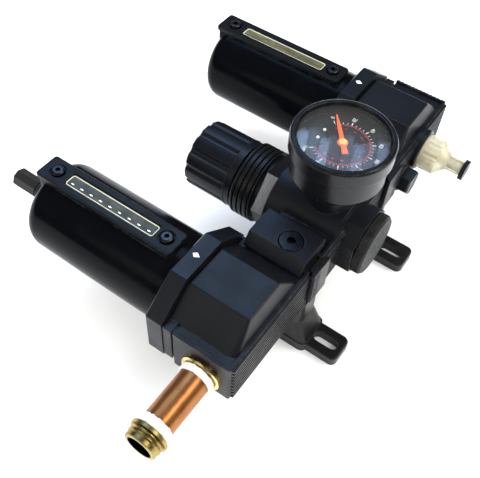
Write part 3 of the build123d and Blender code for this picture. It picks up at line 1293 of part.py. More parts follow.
# Feed adjuster: a slotted black head on a needle that reaches down to the drip nozzle.
FEED_HEAD_Y = DOME_TOP_Y + 0.3
FEED_HEAD = 2.6
FEED_HEAD_R = 6.1
with BuildPart() as feed_adjuster:
    with BuildSketch(plane_up(lubricator_x, FEED_HEAD_Y, DOME_Z)):
        Circle(FEED_HEAD_R)
        with PolarLocations(FEED_HEAD_R + 0.3, 16):
            Circle(0.7, mode=Mode.SUBTRACT)
    extrude(amount=FEED_HEAD)
    with BuildSketch(plane_down(lubricator_x, FEED_HEAD_Y, DOME_Z)):
        Circle(NECK_BORE_R - RUNNING)
    extrude(amount=9.0)
    with BuildSketch(plane_up(lubricator_x, FEED_HEAD_Y + FEED_HEAD, DOME_Z)):
        Rectangle(8.0, 1.4)
    extrude(amount=-1.2, mode=Mode.SUBTRACT)
feed_adjuster.part.label = "feed_adjuster"
export_step(feed_adjuster.part, "parts/feed_adjuster.step")

plug_x = lubricator_x + PLUG_OFFSET
WASHER_THICK = 1.3
PLUG_HEAD_Y = PAD_Y + WASHER_THICK + FIT
PLUG_HEAD = 6.4
PLUG_HEAD_R = 8.2
with BuildPart() as fill_plug_washer:
    with BuildSketch(plane_up(plug_x, PAD_Y, PLUG_Z)):
        Circle(8.0)
        Circle(PLUG_HOLE_R + RUNNING, mode=Mode.SUBTRACT)
    extrude(amount=WASHER_THICK)
fill_plug_washer.part.label = "fill_plug_washer"
export_step(fill_plug_washer.part, "parts/fill_plug_washer.step")

with BuildPart() as fill_plug:
    with BuildSketch(plane_up(plug_x, PLUG_HEAD_Y, PLUG_Z)):
        RegularPolygon(PLUG_HEAD_R, 6, rotation=12)
    extrude(amount=PLUG_HEAD)
    chamfer(fill_plug.faces().sort_by(Axis.Y)[-1].edges(), 0.9)
    with BuildSketch(plane_down(plug_x, PLUG_HEAD_Y, PLUG_Z)):
        Circle(PLUG_HOLE_R - RUNNING)
    extrude(amount=11.0)
    with BuildSketch(plane_up(plug_x, PLUG_HEAD_Y + PLUG_HEAD, PLUG_Z)):
        Rectangle(20.0, 2.0, rotation=60)
    extrude(amount=-2.4, mode=Mode.SUBTRACT)
fill_plug.part.label = "fill_plug"
export_step(fill_plug.part, "parts/fill_plug.step")

# Siphon: a tube from the riser hole to a strainer near the bottom of the bowl.
SIPHON_LENGTH = 100.0
STRAINER_Y = -101.0
STRAINER_R = 4.0
STRAINER_LENGTH = 9.0
with BuildPart() as siphon_tube:
    with BuildSketch(plane_down(lubricator_x, BODY_BORE_TOP_Y + 4.0, RISER_Z)):
        Circle(RISER_HOLE_R - FIT)
    extrude(amount=SIPHON_LENGTH)
    with BuildSketch(plane_down(lubricator_x, STRAINER_Y, RISER_Z)):
        Circle(STRAINER_R)
    extrude(amount=STRAINER_LENGTH)
siphon_tube.part.label = "siphon_tube"
export_step(siphon_tube.part, "parts/siphon_tube.step")
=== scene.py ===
import json
import math
import random

import bmesh
import bpy
from mathutils import Matrix, Vector, noise


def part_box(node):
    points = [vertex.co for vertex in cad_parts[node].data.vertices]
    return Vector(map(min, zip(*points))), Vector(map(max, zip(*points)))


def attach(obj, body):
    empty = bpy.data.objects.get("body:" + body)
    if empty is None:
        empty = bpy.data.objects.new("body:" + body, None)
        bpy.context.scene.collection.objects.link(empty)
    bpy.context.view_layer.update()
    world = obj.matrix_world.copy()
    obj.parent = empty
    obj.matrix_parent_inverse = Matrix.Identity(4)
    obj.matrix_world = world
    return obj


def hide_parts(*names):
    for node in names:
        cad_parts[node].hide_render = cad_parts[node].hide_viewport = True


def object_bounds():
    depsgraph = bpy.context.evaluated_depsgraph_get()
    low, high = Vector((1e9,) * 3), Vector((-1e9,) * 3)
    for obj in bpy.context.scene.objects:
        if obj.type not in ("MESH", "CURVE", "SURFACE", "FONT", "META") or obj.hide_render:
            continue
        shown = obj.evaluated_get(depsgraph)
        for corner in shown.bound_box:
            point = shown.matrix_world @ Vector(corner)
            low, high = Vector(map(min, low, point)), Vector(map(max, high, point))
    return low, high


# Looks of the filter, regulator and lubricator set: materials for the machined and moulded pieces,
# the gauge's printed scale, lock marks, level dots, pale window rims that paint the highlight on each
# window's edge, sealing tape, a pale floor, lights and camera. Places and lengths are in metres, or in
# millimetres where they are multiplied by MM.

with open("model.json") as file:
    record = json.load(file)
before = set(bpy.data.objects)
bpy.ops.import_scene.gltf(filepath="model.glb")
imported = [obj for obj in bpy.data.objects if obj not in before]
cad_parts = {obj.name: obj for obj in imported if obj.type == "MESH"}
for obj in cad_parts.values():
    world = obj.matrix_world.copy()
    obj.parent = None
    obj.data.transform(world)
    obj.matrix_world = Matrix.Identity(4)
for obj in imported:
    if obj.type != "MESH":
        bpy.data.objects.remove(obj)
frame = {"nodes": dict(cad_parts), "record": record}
cad_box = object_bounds()
nodes = frame["nodes"]
MM = 0.001
random.seed(7)


# ---- Node helpers ------------------------------------------------------------------------------


class Shader:
    """A material's node tree with short calls for the nodes used here."""

    def __init__(self, name, base, roughness, metallic=0.0, **sockets):
        self.material = bpy.data.materials.new(name)
        self.material.use_nodes = True
        self.tree = self.material.node_tree
        self.bsdf = self.tree.nodes["Principled BSDF"]
        self.set("Base Color", (*base, 1.0))
        self.set("Roughness", roughness)
        self.set("Metallic", metallic)
        for socket, value in sockets.items():
            self.set(socket.replace("_", " "), value)
        self.coords = self.tree.nodes.new("ShaderNodeTexCoord").outputs["Object"]

    def set(self, socket, value):
        self.bsdf.inputs[socket].default_value = value

    def link(self, output, socket):
        self.tree.links.new(output, self.bsdf.inputs[socket])

    def node(self, kind, inputs=None, **settings):
        made = self.tree.nodes.new(kind)
        for key, value in settings.items():
            setattr(made, key, value)
        for key, value in (inputs or {}).items():
            if isinstance(value, bpy.types.NodeSocket):
                self.tree.links.new(value, made.inputs[key])
            else:
                made.inputs[key].default_value = value
        return made

    def noise(self, scale, detail=4.0, rough=0.55, stretch=(1, 1, 1)):
        where = self.node("ShaderNodeMapping", {"Vector": self.coords, "Scale": stretch})
        texture = self.node(
            "ShaderNodeTexNoise",
            {"Vector": where.outputs[0], "Scale": scale, "Detail": detail, "Roughness": rough},
        )
        return texture.outputs["Fac"]

    def ramp(self, fac, low, high, from_value=0.0, to_value=1.0):
        return self.node(
            "ShaderNodeMapRange",
            {0: fac, 1: low, 2: high, 3: from_value, 4: to_value},
            clamp=True,
        ).outputs[0]

    def times(self, a, b):
        return self.node("ShaderNodeMath", {0: a, 1: b}, operation="MULTIPLY").outputs[0]

    def mix(self, fac, a, b):
        made = self.node("ShaderNodeMix", {0: fac}, data_type="RGBA")
        for index, colour in ((6, a), (7, b)):
            if isinstance(colour, bpy.types.NodeSocket):
                self.tree.links.new(colour, made.inputs[index])
            else:
                made.inputs[index].default_value = (*colour, 1.0)
        return made.outputs[2]

    def bump(self, height, strength, distance, normal=None):
        inputs = {"Height": height, "Strength": strength, "Distance": distance}
        if normal is not None:
            inputs["Normal"] = normal
        return self.node("ShaderNodeBump", inputs).outputs["Normal"]

    def rounded_normal(self, radius):
        return self.node("ShaderNodeBevel", {"Radius": radius}, samples=4).outputs["Normal"]

    def facing(self, way, band):
        """1 on the face that looks along way, between two heights of y in metres."""
        normal = self.node("ShaderNodeTexCoord").outputs["Normal"]
        dot = self.node("ShaderNodeVectorMath", {0: normal, 1: way}, operation="DOT_PRODUCT")
        y = self.node("ShaderNodeSeparateXYZ", {0: self.coords}).outputs["Y"]
        above = self.node("ShaderNodeMath", {0: y, 1: band[0]}, operation="GREATER_THAN").outputs[0]
        below = self.node("ShaderNodeMath", {0: y, 1: band[1]}, operation="LESS_THAN").outputs[0]
        looking = self.ramp(dot.outputs["Value"], 0.985, 0.998)
        return self.times(looking, self.times(above, below))

    def inside_bore(self, y, z, radius):
        """1 on the wall of a bore that runs along X through (y, z), 0 outside it."""
        offset = self.node("ShaderNodeVectorMath", {0: self.coords, 1: (0.0, y, z)}, operation="SUBTRACT")
        across = self.node(
            "ShaderNodeVectorMath", {0: offset.outputs[0], 1: (0.0, 1.0, 1.0)}, operation="MULTIPLY"
        )
        reach = self.node("ShaderNodeVectorMath", {0: across.outputs[0]}, operation="LENGTH")
        return self.ramp(reach.outputs["Value"], radius, radius + 0.0003, 1.0, 0.0)

    def edge_wear(self, rounded):
        """1 along sharp edges, 0 on flats: how far the rounded normal leaves the true one. It marks both
        rubbed edges and painted edge highlights.
        """
        true_normal = self.node("ShaderNodeNewGeometry").outputs["Normal"]
        dot = self.node("ShaderNodeVectorMath", {0: rounded, 1: true_normal}, operation="DOT_PRODUCT")
        return self.ramp(dot.outputs["Value"], 0.88, 0.995, 1.0, 0.0)


# ---- Materials ---------------------------------------------------------------------------------

CAST_EDGE = 0.9 * MM  # radius over which a casting's edges look rounded
MOULDED_EDGE = 0.5 * MM
SKIN_EDGE = 0.4 * MM
METAL_EDGE = 0.2 * MM
# Painted shade for the wall inside a bore.
PAINTED_BORE_SHADE = (0.006, 0.005, 0.004)
CHALK = (0.17, 0.172, 0.18)


def cast_paint(name, base, rough, worn_and_highlight, grain=1.0, gloss=0.3):
    """Black paint on a casting: orange-peel grain, cloudy gloss, dust, and pale edges that are partly
    rubbed paint and partly painted highlight.
    """
    s = Shader(name, base, rough, Specular_IOR_Level=gloss)
    rounded = s.rounded_normal(CAST_EDGE)
    clouds = s.noise(55, 5)
    speckle = s.noise(1500, 3, 0.7)
    wear_and_highlight = s.times(s.edge_wear(rounded), s.ramp(s.noise(240, 5, 0.65), 0.45, 0.75))
    dust = s.times(s.ramp(s.noise(420, 6, 0.8), 0.6, 0.82), s.ramp(clouds, 0.42, 0.7, 0.0, 0.5))
    colour = s.mix(dust, base, tuple(0.2 * c for c in worn_and_highlight))
    # Pale edges: rubbed paint plus a painted highlight along every edge.
    colour = s.mix(s.times(wear_and_highlight, 0.6), colour, worn_and_highlight)
    s.link(colour, "Base Color")
    s.link(s.ramp(clouds, 0.3, 0.72, rough - 0.09, rough + 0.11), "Roughness")
    s.link(s.bump(speckle, 0.22 * grain, 0.00012, rounded), "Normal")
    return s.material


def moulded(name, base, rough, grain=0.5, scratch=0.5, gloss=0.3, worn_way=None, worn_band=None):
    """Moulded plastic: fine texture, handling scratches, and paler edges that are partly rubbed plastic
    and partly painted highlight.
    A face looking along worn_way, within the band of y, may be rubbed chalky-pale."""
    s = Shader(name, base, rough, Specular_IOR_Level=gloss)
    rounded = s.rounded_normal(MOULDED_EDGE)
    fine = s.noise(2600, 2, 0.6)
    scratches = s.ramp(s.noise(90, 8, 0.75, (6, 0.5, 4)), 0.56, 0.66)
    clouds = s.noise(70, 4)
    wear_and_highlight = s.times(s.edge_wear(rounded), s.ramp(s.noise(300, 4), 0.4, 0.7, 0.2, 0.8))
    colour = s.mix(s.times(scratches, 0.25 * scratch), base, tuple(2.0 * c + 0.008 for c in base))
    # Paler edges: rubbed plastic plus a painted highlight along every edge.
    colour = s.mix(s.times(wear_and_highlight, 0.6), colour, tuple(2.6 * c + 0.04 for c in base))
    if worn_way:
        flat = s.facing(worn_way, worn_band)
        chalk = s.ramp(s.noise(260, 8, 0.75, (1.0, 3.0, 1.0)), 0.3, 0.7, 0.35, 1.0)
        colour = s.mix(s.times(flat, chalk), colour, CHALK)
    s.link(colour, "Base Color")
    s.link(s.ramp(clouds, 0.3, 0.7, rough - 0.08, rough + 0.1), "Roughness")
    s.link(s.bump(fine, 0.15 * grain, 0.0001, rounded), "Normal")
    return s.material


def metal(name, base, rough, stained, stretch=(1, 1, 1), scale=900, metallic=1.0, bore=None):
    """Turned, drawn or brushed metal: fine lines along one way, stains and uneven gloss. The wall of
    a bore given as (y, z, radius) is painted dark as shade."""
    s = Shader(name, base, rough, metallic=metallic)
    rounded = s.rounded_normal(METAL_EDGE)
    lines = s.noise(scale, 3, 0.6, stretch)
    stains = s.ramp(s.noise(130, 7, 0.7), 0.48, 0.72)
    colour = s.mix(s.times(stains, 0.7), base, stained)
    if bore:
        # Painted shade: the bore's wall is coloured near black.
        colour = s.mix(s.inside_bore(*bore), colour, PAINTED_BORE_SHADE)
    s.link(colour, "Base Color")
    s.link(s.ramp(lines, 0.25, 0.75, rough - 0.08, rough + 0.12), "Roughness")
    s.link(s.bump(lines, 0.12, 0.0001, rounded), "Normal")
    return s.material


def soft_seal(name, base):
    """Rubber seal: dull and slightly dusty."""
    s = Shader(name, base, 0.75)
    dust = s.ramp(s.noise(350, 6, 0.7), 0.5, 0.8, 0.0, 0.5)
    s.link(s.mix(dust, base, (0.09, 0.09, 0.085)), "Base Color")
    s.link(s.bump(s.noise(1800, 2), 0.15, 0.0001), "Normal")
    return s.material


def tinted_clear(name, tint, rough, haze, clearness):
    """Clear moulded plastic or glass with a tint that deepens with haze and grime."""
    s = Shader(name, tint, rough, Transmission_Weight=clearness, IOR=1.49)
    grime = s.ramp(s.noise(210, 6, 0.7), 0.42, 0.75)
    s.link(s.mix(grime, tint, haze), "Base Color")
    s.link(s.ramp(s.noise(160, 4), 0.3, 0.75, rough * 0.5, rough + 0.15), "Roughness")
    s.link(s.bump(s.noise(500, 2), 0.06, 0.0001), "Normal")
    return s.material


def streaked_window(name, dark, pale):
    """A sight window seen against its dark bowl: streaks along the bowl and a film of grime."""
    s = Shader(name, dark, 0.22, Specular_IOR_Level=0.25)
    streaks = s.ramp(s.noise(420, 5, 0.7, (1.0, 0.05, 1.0)), 0.38, 0.68)
    grime = s.ramp(s.noise(150, 6, 0.7), 0.4, 0.75, 0.25, 1.0)
    s.link(s.mix(s.times(streaks, grime), dark, pale), "Base Color")
    s.link(s.ramp(s.noise(200, 4), 0.3, 0.75, 0.14, 0.34), "Roughness")
    s.link(s.bump(s.noise(500, 2), 0.06, 0.0001), "Normal")
    return s.material


def clear_glass(name):
    """Clear instrument glass: a thin see-through pane with a hard reflection and faint smears."""
    s = Shader(name, (0.09, 0.09, 0.08), 0.02, Specular_IOR_Level=1.0, IOR=2.4, Alpha=0.13)
    smears = s.ramp(s.noise(120, 6, 0.7, (1.0, 3.0, 1.0)), 0.4, 0.8, 0.03, 0.12)
    s.link(smears, "Roughness")
    haze = s.ramp(s.noise(75, 5, 0.7), 0.35, 0.75)
    s.link(s.mix(haze, (0.11, 0.11, 0.095), (0.17, 0.17, 0.15)), "Base Color")
    s.link(s.bump(s.noise(60, 2), 0.02, 0.0001), "Normal")
    return s.material


def printed(name, base, wear_level):
    """Screen print: flat ink with pinholes where it has rubbed off."""
    s = Shader(name, base, 0.55)
    rubbed = s.ramp(s.noise(2200, 4, 0.7), 0.62, 0.8, 0.0, wear_level)
    s.link(s.mix(rubbed, base, tuple(0.35 * c for c in base)), "Base Color")
    s.link(s.bump(rubbed, 0.1, 0.00005), "Normal")
    return s.material


def worn_face(name, base, pale, rough):
    """A moulded face whose skin has gone chalky: pale clouds and fine pitting."""
    s = Shader(name, base, rough, Specular_IOR_Level=0.12)
    rounded = s.rounded_normal(SKIN_EDGE)
    clouds = s.ramp(s.noise(160, 8, 0.72), 0.34, 0.68)
    s.link(s.mix(clouds, base, pale), "Base Color")
    s.link(s.ramp(s.noise(600, 4), 0.3, 0.7, rough - 0.1, rough + 0.1), "Roughness")
    s.link(s.bump(s.noise(1400, 4, 0.7), 0.3, 0.00015, rounded), "Normal")
    return s.material


def sealing_tape(name):
    """White PTFE tape: soft sheen, faint stripes along the wrap."""
    white, grimy = (0.83, 0.82, 0.79), (0.5, 0.46, 0.38)
    s = Shader(name, white, 0.5, Subsurface_Weight=0.15)
    s.set("Subsurface Radius", (0.8 * MM, 0.8 * MM, 0.8 * MM))
    stripes = s.noise(1400, 3, 0.6, (1.0, 0.1, 0.1))
    grime = s.ramp(s.noise(240, 6, 0.7), 0.6, 0.85, 0.0, 0.4)
    s.link(s.mix(grime, white, grimy), "Base Color")
    s.link(s.bump(stripes, 0.3, 0.00015), "Normal")
    return s.material


BODY = (0.0042, 0.0048, 0.0066)
# Pale edge colour of the paints: rubbed paint and painted edge highlight.
EDGE_WEAR_AND_HIGHLIGHT = (0.1, 0.104, 0.112)
paint_body = cast_paint("paint_body", BODY, 0.4, EDGE_WEAR_AND_HIGHLIGHT)
paint_bowl = cast_paint("paint_bowl", (0.0018, 0.002, 0.0028), 0.18, EDGE_WEAR_AND_HIGHLIGHT, grain=0.3, gloss=0.06)
paint_clamp = cast_paint("paint_clamp", (0.0042, 0.005, 0.0075), 0.38, EDGE_WEAR_AND_HIGHLIGHT)
paint_bracket = cast_paint("paint_bracket", (0.005, 0.0053, 0.006), 0.36, EDGE_WEAR_AND_HIGHLIGHT, grain=1.3)
plastic_collar = moulded("plastic_collar", (0.004, 0.0048, 0.0068), 0.36)
# One flat of the bonnet's hexagon is worn. The hexagon's first corner stands 9 degrees from +X
# toward +Z, and the middle of a flat is 30 degrees on from a corner.
FLAT_TURN = math.radians(9 + 30)
FLAT_LOW = 13.0  # below the bonnet's top
FLAT_HIGH = 5.4
bonnet_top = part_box("bonnet")[1].y
flat_band = (bonnet_top - FLAT_LOW * MM, bonnet_top - FLAT_HIGH * MM)
plastic_bonnet = moulded(
    "plastic_bonnet",
    (0.004, 0.0043, 0.005),
    0.38,
    worn_way=(math.cos(FLAT_TURN), 0.0, math.sin(FLAT_TURN)),
    worn_band=flat_band,
)
plastic_knob = moulded("plastic_knob", (0.0036, 0.0042, 0.006), 0.33, scratch=0.9)
plastic_black = moulded("plastic_black", (0.0046, 0.0048, 0.0056), 0.34)
chalky_cap = worn_face("chalky_cap", (0.006, 0.0062, 0.006), (0.02, 0.021, 0.02), 0.5)
black_oxide = metal("black_oxide", (0.06, 0.062, 0.068), 0.3, (0.11, 0.1, 0.09))
steel = metal("steel", (0.45, 0.45, 0.45), 0.34, (0.3, 0.27, 0.23))
brass = metal("brass", (0.82, 0.63, 0.25), 0.24, (0.5, 0.33, 0.12), (0.2, 3, 3), 700)
PORT_AXIS = (0.0, 48.5 * MM)  # y and z of the air passage
MOUTH_R = 6.6 * MM  # just outside the wall of the stub's mouth
# The adapter's mouth has painted shade on its bore wall.
aged_brass = metal(
    "aged_brass",
    (0.42, 0.31, 0.1),
    0.34,
    (0.07, 0.05, 0.015),
    (0.4, 2, 2),
    500,
    bore=(*PORT_AXIS, MOUTH_R),
)
copper = metal(
    "copper",
    (0.4, 0.155, 0.048),
    0.33,
    (0.2, 0.075, 0.025),
    (0.12, 2.5, 2.5),
    500,
    metallic=0.9,
)
rubber = soft_seal("rubber", (0.012, 0.012, 0.012))
filter_window = streaked_window("filter_window", (0.012, 0.012, 0.007), (0.075, 0.075, 0.046))
oil_window = streaked_window("oil_window", (0.05, 0.048, 0.026), (0.24, 0.23, 0.14))
strip_plastic = moulded("strip_plastic", (0.0036, 0.004, 0.005), 0.34, gloss=0.16)
clear_dome = tinted_clear("clear_dome", (0.8, 0.76, 0.58), 0.12, (0.58, 0.53, 0.34), 0.6)
lens_glass = clear_glass("lens_glass")
gauge_paint = cast_paint("gauge_paint", (0.0034, 0.0036, 0.0042), 0.26, EDGE_WEAR_AND_HIGHLIGHT, grain=0.25, gloss=0.3)
dial_face = printed("dial_face", (0.005, 0.005, 0.0055), 0.1)
needle_paint = printed("needle_paint", (1.0, 0.13, 0.03), 0.1)
hub_gilt = moulded("hub_gilt", (0.95, 0.5, 0.12), 0.3)
porous_element = worn_face("porous_element", (0.6, 0.58, 0.5), (0.78, 0.76, 0.7), 0.85)
plastic_white = moulded("plastic_white", (0.7, 0.7, 0.67), 0.45)
ink_white = printed("ink_white", (0.92, 0.93, 0.94), 0.2)
ink_red = printed("ink_red", (0.75, 0.06, 0.11), 0.2)
drain_plastic = moulded("drain_plastic", (0.012, 0.0115, 0.0105), 0.5, grain=0.9)
# Pale window rims: a painted highlight along each window's edge.
window_highlight_rim = tinted_clear("window_highlight_rim", (0.72, 0.72, 0.55), 0.3, (0.5, 0.5, 0.36), 0.2)
tape_white = sealing_tape("tape_white")

LOOK = {
    "body": paint_body,
    "bowl": paint_bowl,
    "collar": plastic_collar,
    "bonnet": plastic_bonnet,
    "knob": plastic_knob,
    "clamp": paint_clamp,
    "bracket": paint_bracket,
    "steel": steel,
    "dark_steel": black_oxide,
    "spring": steel,
    "brass": brass,
    "copper": copper,
    "sleeve": tape_white,
    "filter_window": filter_window,
    "oil_window": oil_window,
    "dome": clear_dome,
    "lens": lens_glass,
    "gauge_black": gauge_paint,
    "bezel": gauge_paint,
    "dial": dial_face,
    "needle": needle_paint,
    "black_plastic": plastic_black,
    "cap": chalky_cap,
    "rubber": rubber,
    "element": porous_element,
    "white_plastic": plastic_white,
}
for part in frame["record"]["subparts"]:
    slots = nodes[part["node"]].data.materials
    slots.clear()
    slots.append(LOOK[part["material_slot"]])
OWN_LOOK = {
    "needle_hub": hub_gilt,
    "end_adapter": aged_brass,
    "filter_sight_frame": strip_plastic,
    "lubricator_sight_frame": strip_plastic,
    "drain_body": drain_plastic,
    "drain_knob": drain_plastic,
}
for name, material in OWN_LOOK.items():
    nodes[name].data.materials[0] = material


# ---- Piece helpers -----------------------------------------------------------------------------


def add_piece(name, bm, material, body):
    """Turns a bmesh into a piece that rides on a body."""
    mesh = bpy.data.meshes.new(name)
    bmesh.ops.recalc_face_normals(bm, faces=bm.faces)
    bm.to_mesh(mesh)
    bm.free()
    mesh.materials.append(material)
    piece = bpy.data.objects.new(name, mesh)
    bpy.context.scene.collection.objects.link(piece)
    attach(piece, body)
    return piece


def add_plate(bm, outline, base, height):
    """A thin plate over an outline of 3-D points, thickened along height."""
    low = [bm.verts.new(Vector(p) + base) for p in outline]
    high = [bm.verts.new(Vector(p) + base + height) for p in outline]
    bm.faces.new(reversed(low))
    bm.faces.new(high)
    for i in range(len(outline)):
        j = (i + 1) % len(outline)
        bm.faces.new((low[i], low[j], high[j], high[i]))


# ---- Gauge print -------------------------------------------------------------------------------

SCALE_START = math.radians(225)
SCALE_SWEEP = math.radians(270)
TICK_R = 14.3  # white ticks start here, millimetres from the spindle
MAJOR_TICK = 2.0
MINOR_TICK = 1.0
NUMBER_R = 18.7
RED_LINE_R = 13.6
RED_LINE = 0.2
RED_NUMBER_R = 10.9
DIAL_SCREW = (3.2, -11.9)
DIAL_SCREW_R = 0.75
DIAL_SCREW_HEIGHT = Vector((0, 0, 0.5 * MM))
WHITE_STEPS = 32
WHITE_NUMBER = 2.9
RED_STEPS = 55
RED_NUMBER = 1.9
ARC_STEPS = 72
PRINT_HEIGHT = Vector((0, 0, 0.05 * MM))
PRINT_GAP = 0.01 * MM
DIAL = Vector((0, 0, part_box("gauge_dial")[1].z + PRINT_GAP))


def scale_point(share, radius):
    """A point on the dial, share of the way round the scale, radius in millimetres."""
    angle = SCALE_START - share * SCALE_SWEEP
    return Vector((math.cos(angle), math.sin(angle), 0)) * radius * MM


def add_tick(bm, share, inner, outer, width):
    """A line across the scale, from one radius to another."""
    angle = SCALE_START - share * SCALE_SWEEP
    side = Vector((-math.sin(angle), math.cos(angle), 0)) * width / 2 * MM
    a, b = scale_point(share, inner), scale_point(share, outer)
    add_plate(bm, [a - side, b - side, b + side, a + side], DIAL, PRINT_HEIGHT)


def add_arc(bm, inner, outer):
    """A line along the whole scale."""
    points = [scale_point(i / ARC_STEPS, outer) for i in range(ARC_STEPS + 1)]
    points += [scale_point(i / ARC_STEPS, inner) for i in range(ARC_STEPS, -1, -1)]
    for i in range(ARC_STEPS):
        j = len(points) - 1 - i
        add_plate(bm, [points[i], points[i + 1], points[j - 1], points[j]], DIAL, PRINT_HEIGHT)


def add_screw_head(bm, x, y):
    """A pale screw head on the dial."""
    ring = [
        Vector((x + DIAL_SCREW_R * math.cos(a), y + DIAL_SCREW_R * math.sin(a), 0)) * MM
        for a in (math.tau * i / 24 for i in range(24))
    ]
    add_plate(bm, ring, DIAL, DIAL_SCREW_HEIGHT)


def add_number(bm, text, x, y, size):
    """A number on the dial, upright with +Y, centred on (x, y)."""
    curve = bpy.data.curves.new("number", "FONT")
    curve.body = text
    curve.size = size * MM
    curve.align_x = "CENTER"
    curve.align_y = "CENTER"
    curve.extrude = PRINT_HEIGHT.z / 2
    curve.resolution_u = 3
    holder = bpy.data.objects.new("number", curve)
    mesh = bpy.data.meshes.new_from_object(holder)
    mesh.transform(Matrix.Translation(DIAL + PRINT_HEIGHT / 2 + Vector((x, y, 0)) * MM))
    bm.from_mesh(mesh)
    bpy.data.objects.remove(holder)
    bpy.data.curves.remove(curve)
    bpy.data.meshes.remove(mesh)


white_scale = bmesh.new()
for step in range(WHITE_STEPS + 1):
    length, width = (MAJOR_TICK, 0.42) if step % 4 == 0 else (MINOR_TICK, 0.22)
    add_tick(white_scale, step / WHITE_STEPS, TICK_R, TICK_R + length, width)
for step in range(9):
    at = scale_point(step / 8, NUMBER_R) / MM
    add_number(white_scale, str(20 * step), at.x, at.y, WHITE_NUMBER)
for side in (-1, 1):
    add_screw_head(white_scale, side * DIAL_SCREW[0], DIAL_SCREW[1])
add_piece("dial_white_print", white_scale, ink_white, "housing")

red_scale = bmesh.new()
add_arc(red_scale, RED_LINE_R, RED_LINE_R + RED_LINE)
for step in range(RED_STEPS + 1):
    length = 0.9 if step % 5 == 0 else 0.5
    add_tick(red_scale, step / RED_STEPS, RED_LINE_R - length, RED_LINE_R, 0.16)
for step in range(12):
    at = scale_point(step / 11, RED_NUMBER_R) / MM
    add_number(red_scale, str(step), at.x, at.y, RED_NUMBER)
add_piece("dial_red_print", red_scale, ink_red, "housing")


# ---- Marks on the collars and windows ----------------------------------------------------------

LEVEL_DOTS = 9
DOT_HALF_WIDTH = 0.3
DOT_HALF_LENGTH = 1.0
DOT_OFFSET = 1.4  # the dots stand off the window's middle, toward +X
DOT_HEIGHT = Vector((0, 0, 0.03 * MM))
# The window rims are pale pieces that paint the highlight along each window's edge.
EDGE_HALF_WIDTH = 3.3  # from the window's middle line to the middle of its pale edge
EDGE_INSET = 1.7  # from each end of the glass to the middle of the edge
EDGE_CORNER = 1.3


def add_lock_mark(name, body, collar):
    """White kite-shaped mark on the collar's front flat."""
    low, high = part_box(collar)
    middle = Vector(((low.x + high.x) / 2, (low.y + high.y) / 2, high.z + PRINT_GAP))
    bm = bmesh.new()
    kite = [(0, -2.0), (1.5, -0.3), (0, 2.0), (-1.5, -0.3)]
    add_plate(bm, [Vector((x, y, 0)) * MM for x, y in kite], middle, PRINT_HEIGHT)
    add_piece(name, bm, ink_white, body)


add_lock_mark("filter_lock_mark", "filter_bowl_set", "filter_bowl_collar")
add_lock_mark("lubricator_lock_mark", "lubricator_bowl_set", "lubricator_bowl_collar")


def add_level_dots():
    """Short white level marks printed along the filter's window."""
    low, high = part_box("filter_sight_glass")
    bm = bmesh.new()
    for i in range(LEVEL_DOTS):
        y = low.y + (high.y - low.y) * (i + 0.8) / (LEVEL_DOTS + 0.6)
        ring = [
            Vector((DOT_HALF_WIDTH * math.cos(a), DOT_HALF_LENGTH * math.sin(a), 0)) * MM
            for a in (math.tau * k / 20 for k in range(20))
        ]
        place = Vector(((low.x + high.x) / 2 + DOT_OFFSET * MM, y, high.z + 0.005 * MM))
        add_plate(bm, ring, place, DOT_HEIGHT)
    add_piece("filter_level_dots", bm, ink_white, "filter_bowl_set")


def add_window_edge(name, glass, body):
    """A pale rim round a window, between its glass and the strip: the painted highlight that the glass's
    edge catches.
    """
    low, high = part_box(glass)
    middle = (low + high) / 2
    half_width = EDGE_HALF_WIDTH * MM
    half_length = (high.y - low.y) / 2 - EDGE_INSET * MM
    corner = EDGE_CORNER * MM
    profile = [(0.28, -0.3), (0.28, 0.1), (0.1, 0.28), (-0.1, 0.28), (-0.28, 0.1), (-0.28, -0.3)]
    path = []
    for turn, (side_x, side_y) in enumerate(((1, 1), (-1, 1), (-1, -1), (1, -1))):
        for step in range(7):
            angle = math.radians(90 * turn + 15 * step)
            x = side_x * (half_width - corner) + corner * math.cos(angle)
            y = side_y * (half_length - corner) + corner * math.sin(angle)
            path.append(Vector((middle.x + x, middle.y + y, high.z)))
    bm = bmesh.new()
    rings = []
    for at, before, after in zip(path, path[-1:] + path[:-1], path[1:] + path[:1]):
        along = (after - before).normalized()
        out = Vector((along.y, -along.x, 0))
        rings.append([bm.verts.new(at + (out * u + Vector((0, 0, v))) * MM) for u, v in profile])
    for first, second in zip(rings, rings[1:] + rings[:1]):
        for k in range(len(first)):
            j = (k + 1) % len(first)
            bm.faces.new((first[k], second[k], second[j], first[j]))
    add_piece(name, bm, window_highlight_rim, body)


add_level_dots()
add_window_edge("filter_window_highlight_rim", "filter_sight_glass", "filter_bowl_set")
add_window_edge("lubricator_window_highlight_rim", "lubricator_sight_glass", "lubricator_bowl_set")


# ---- Sealing tape ------------------------------------------------------------------------------

TAPE_THICK = 1.15  # the layers' tops are spread evenly through this depth
TAPE_BASE = 1.2  # depth of every layer's inner edge below the sleeve's outside
TAPE_STEPS = 96  # points round the wrap
TAPE_COLUMNS = 7  # rings of points along one layer
EDGE_DROP = 0.22


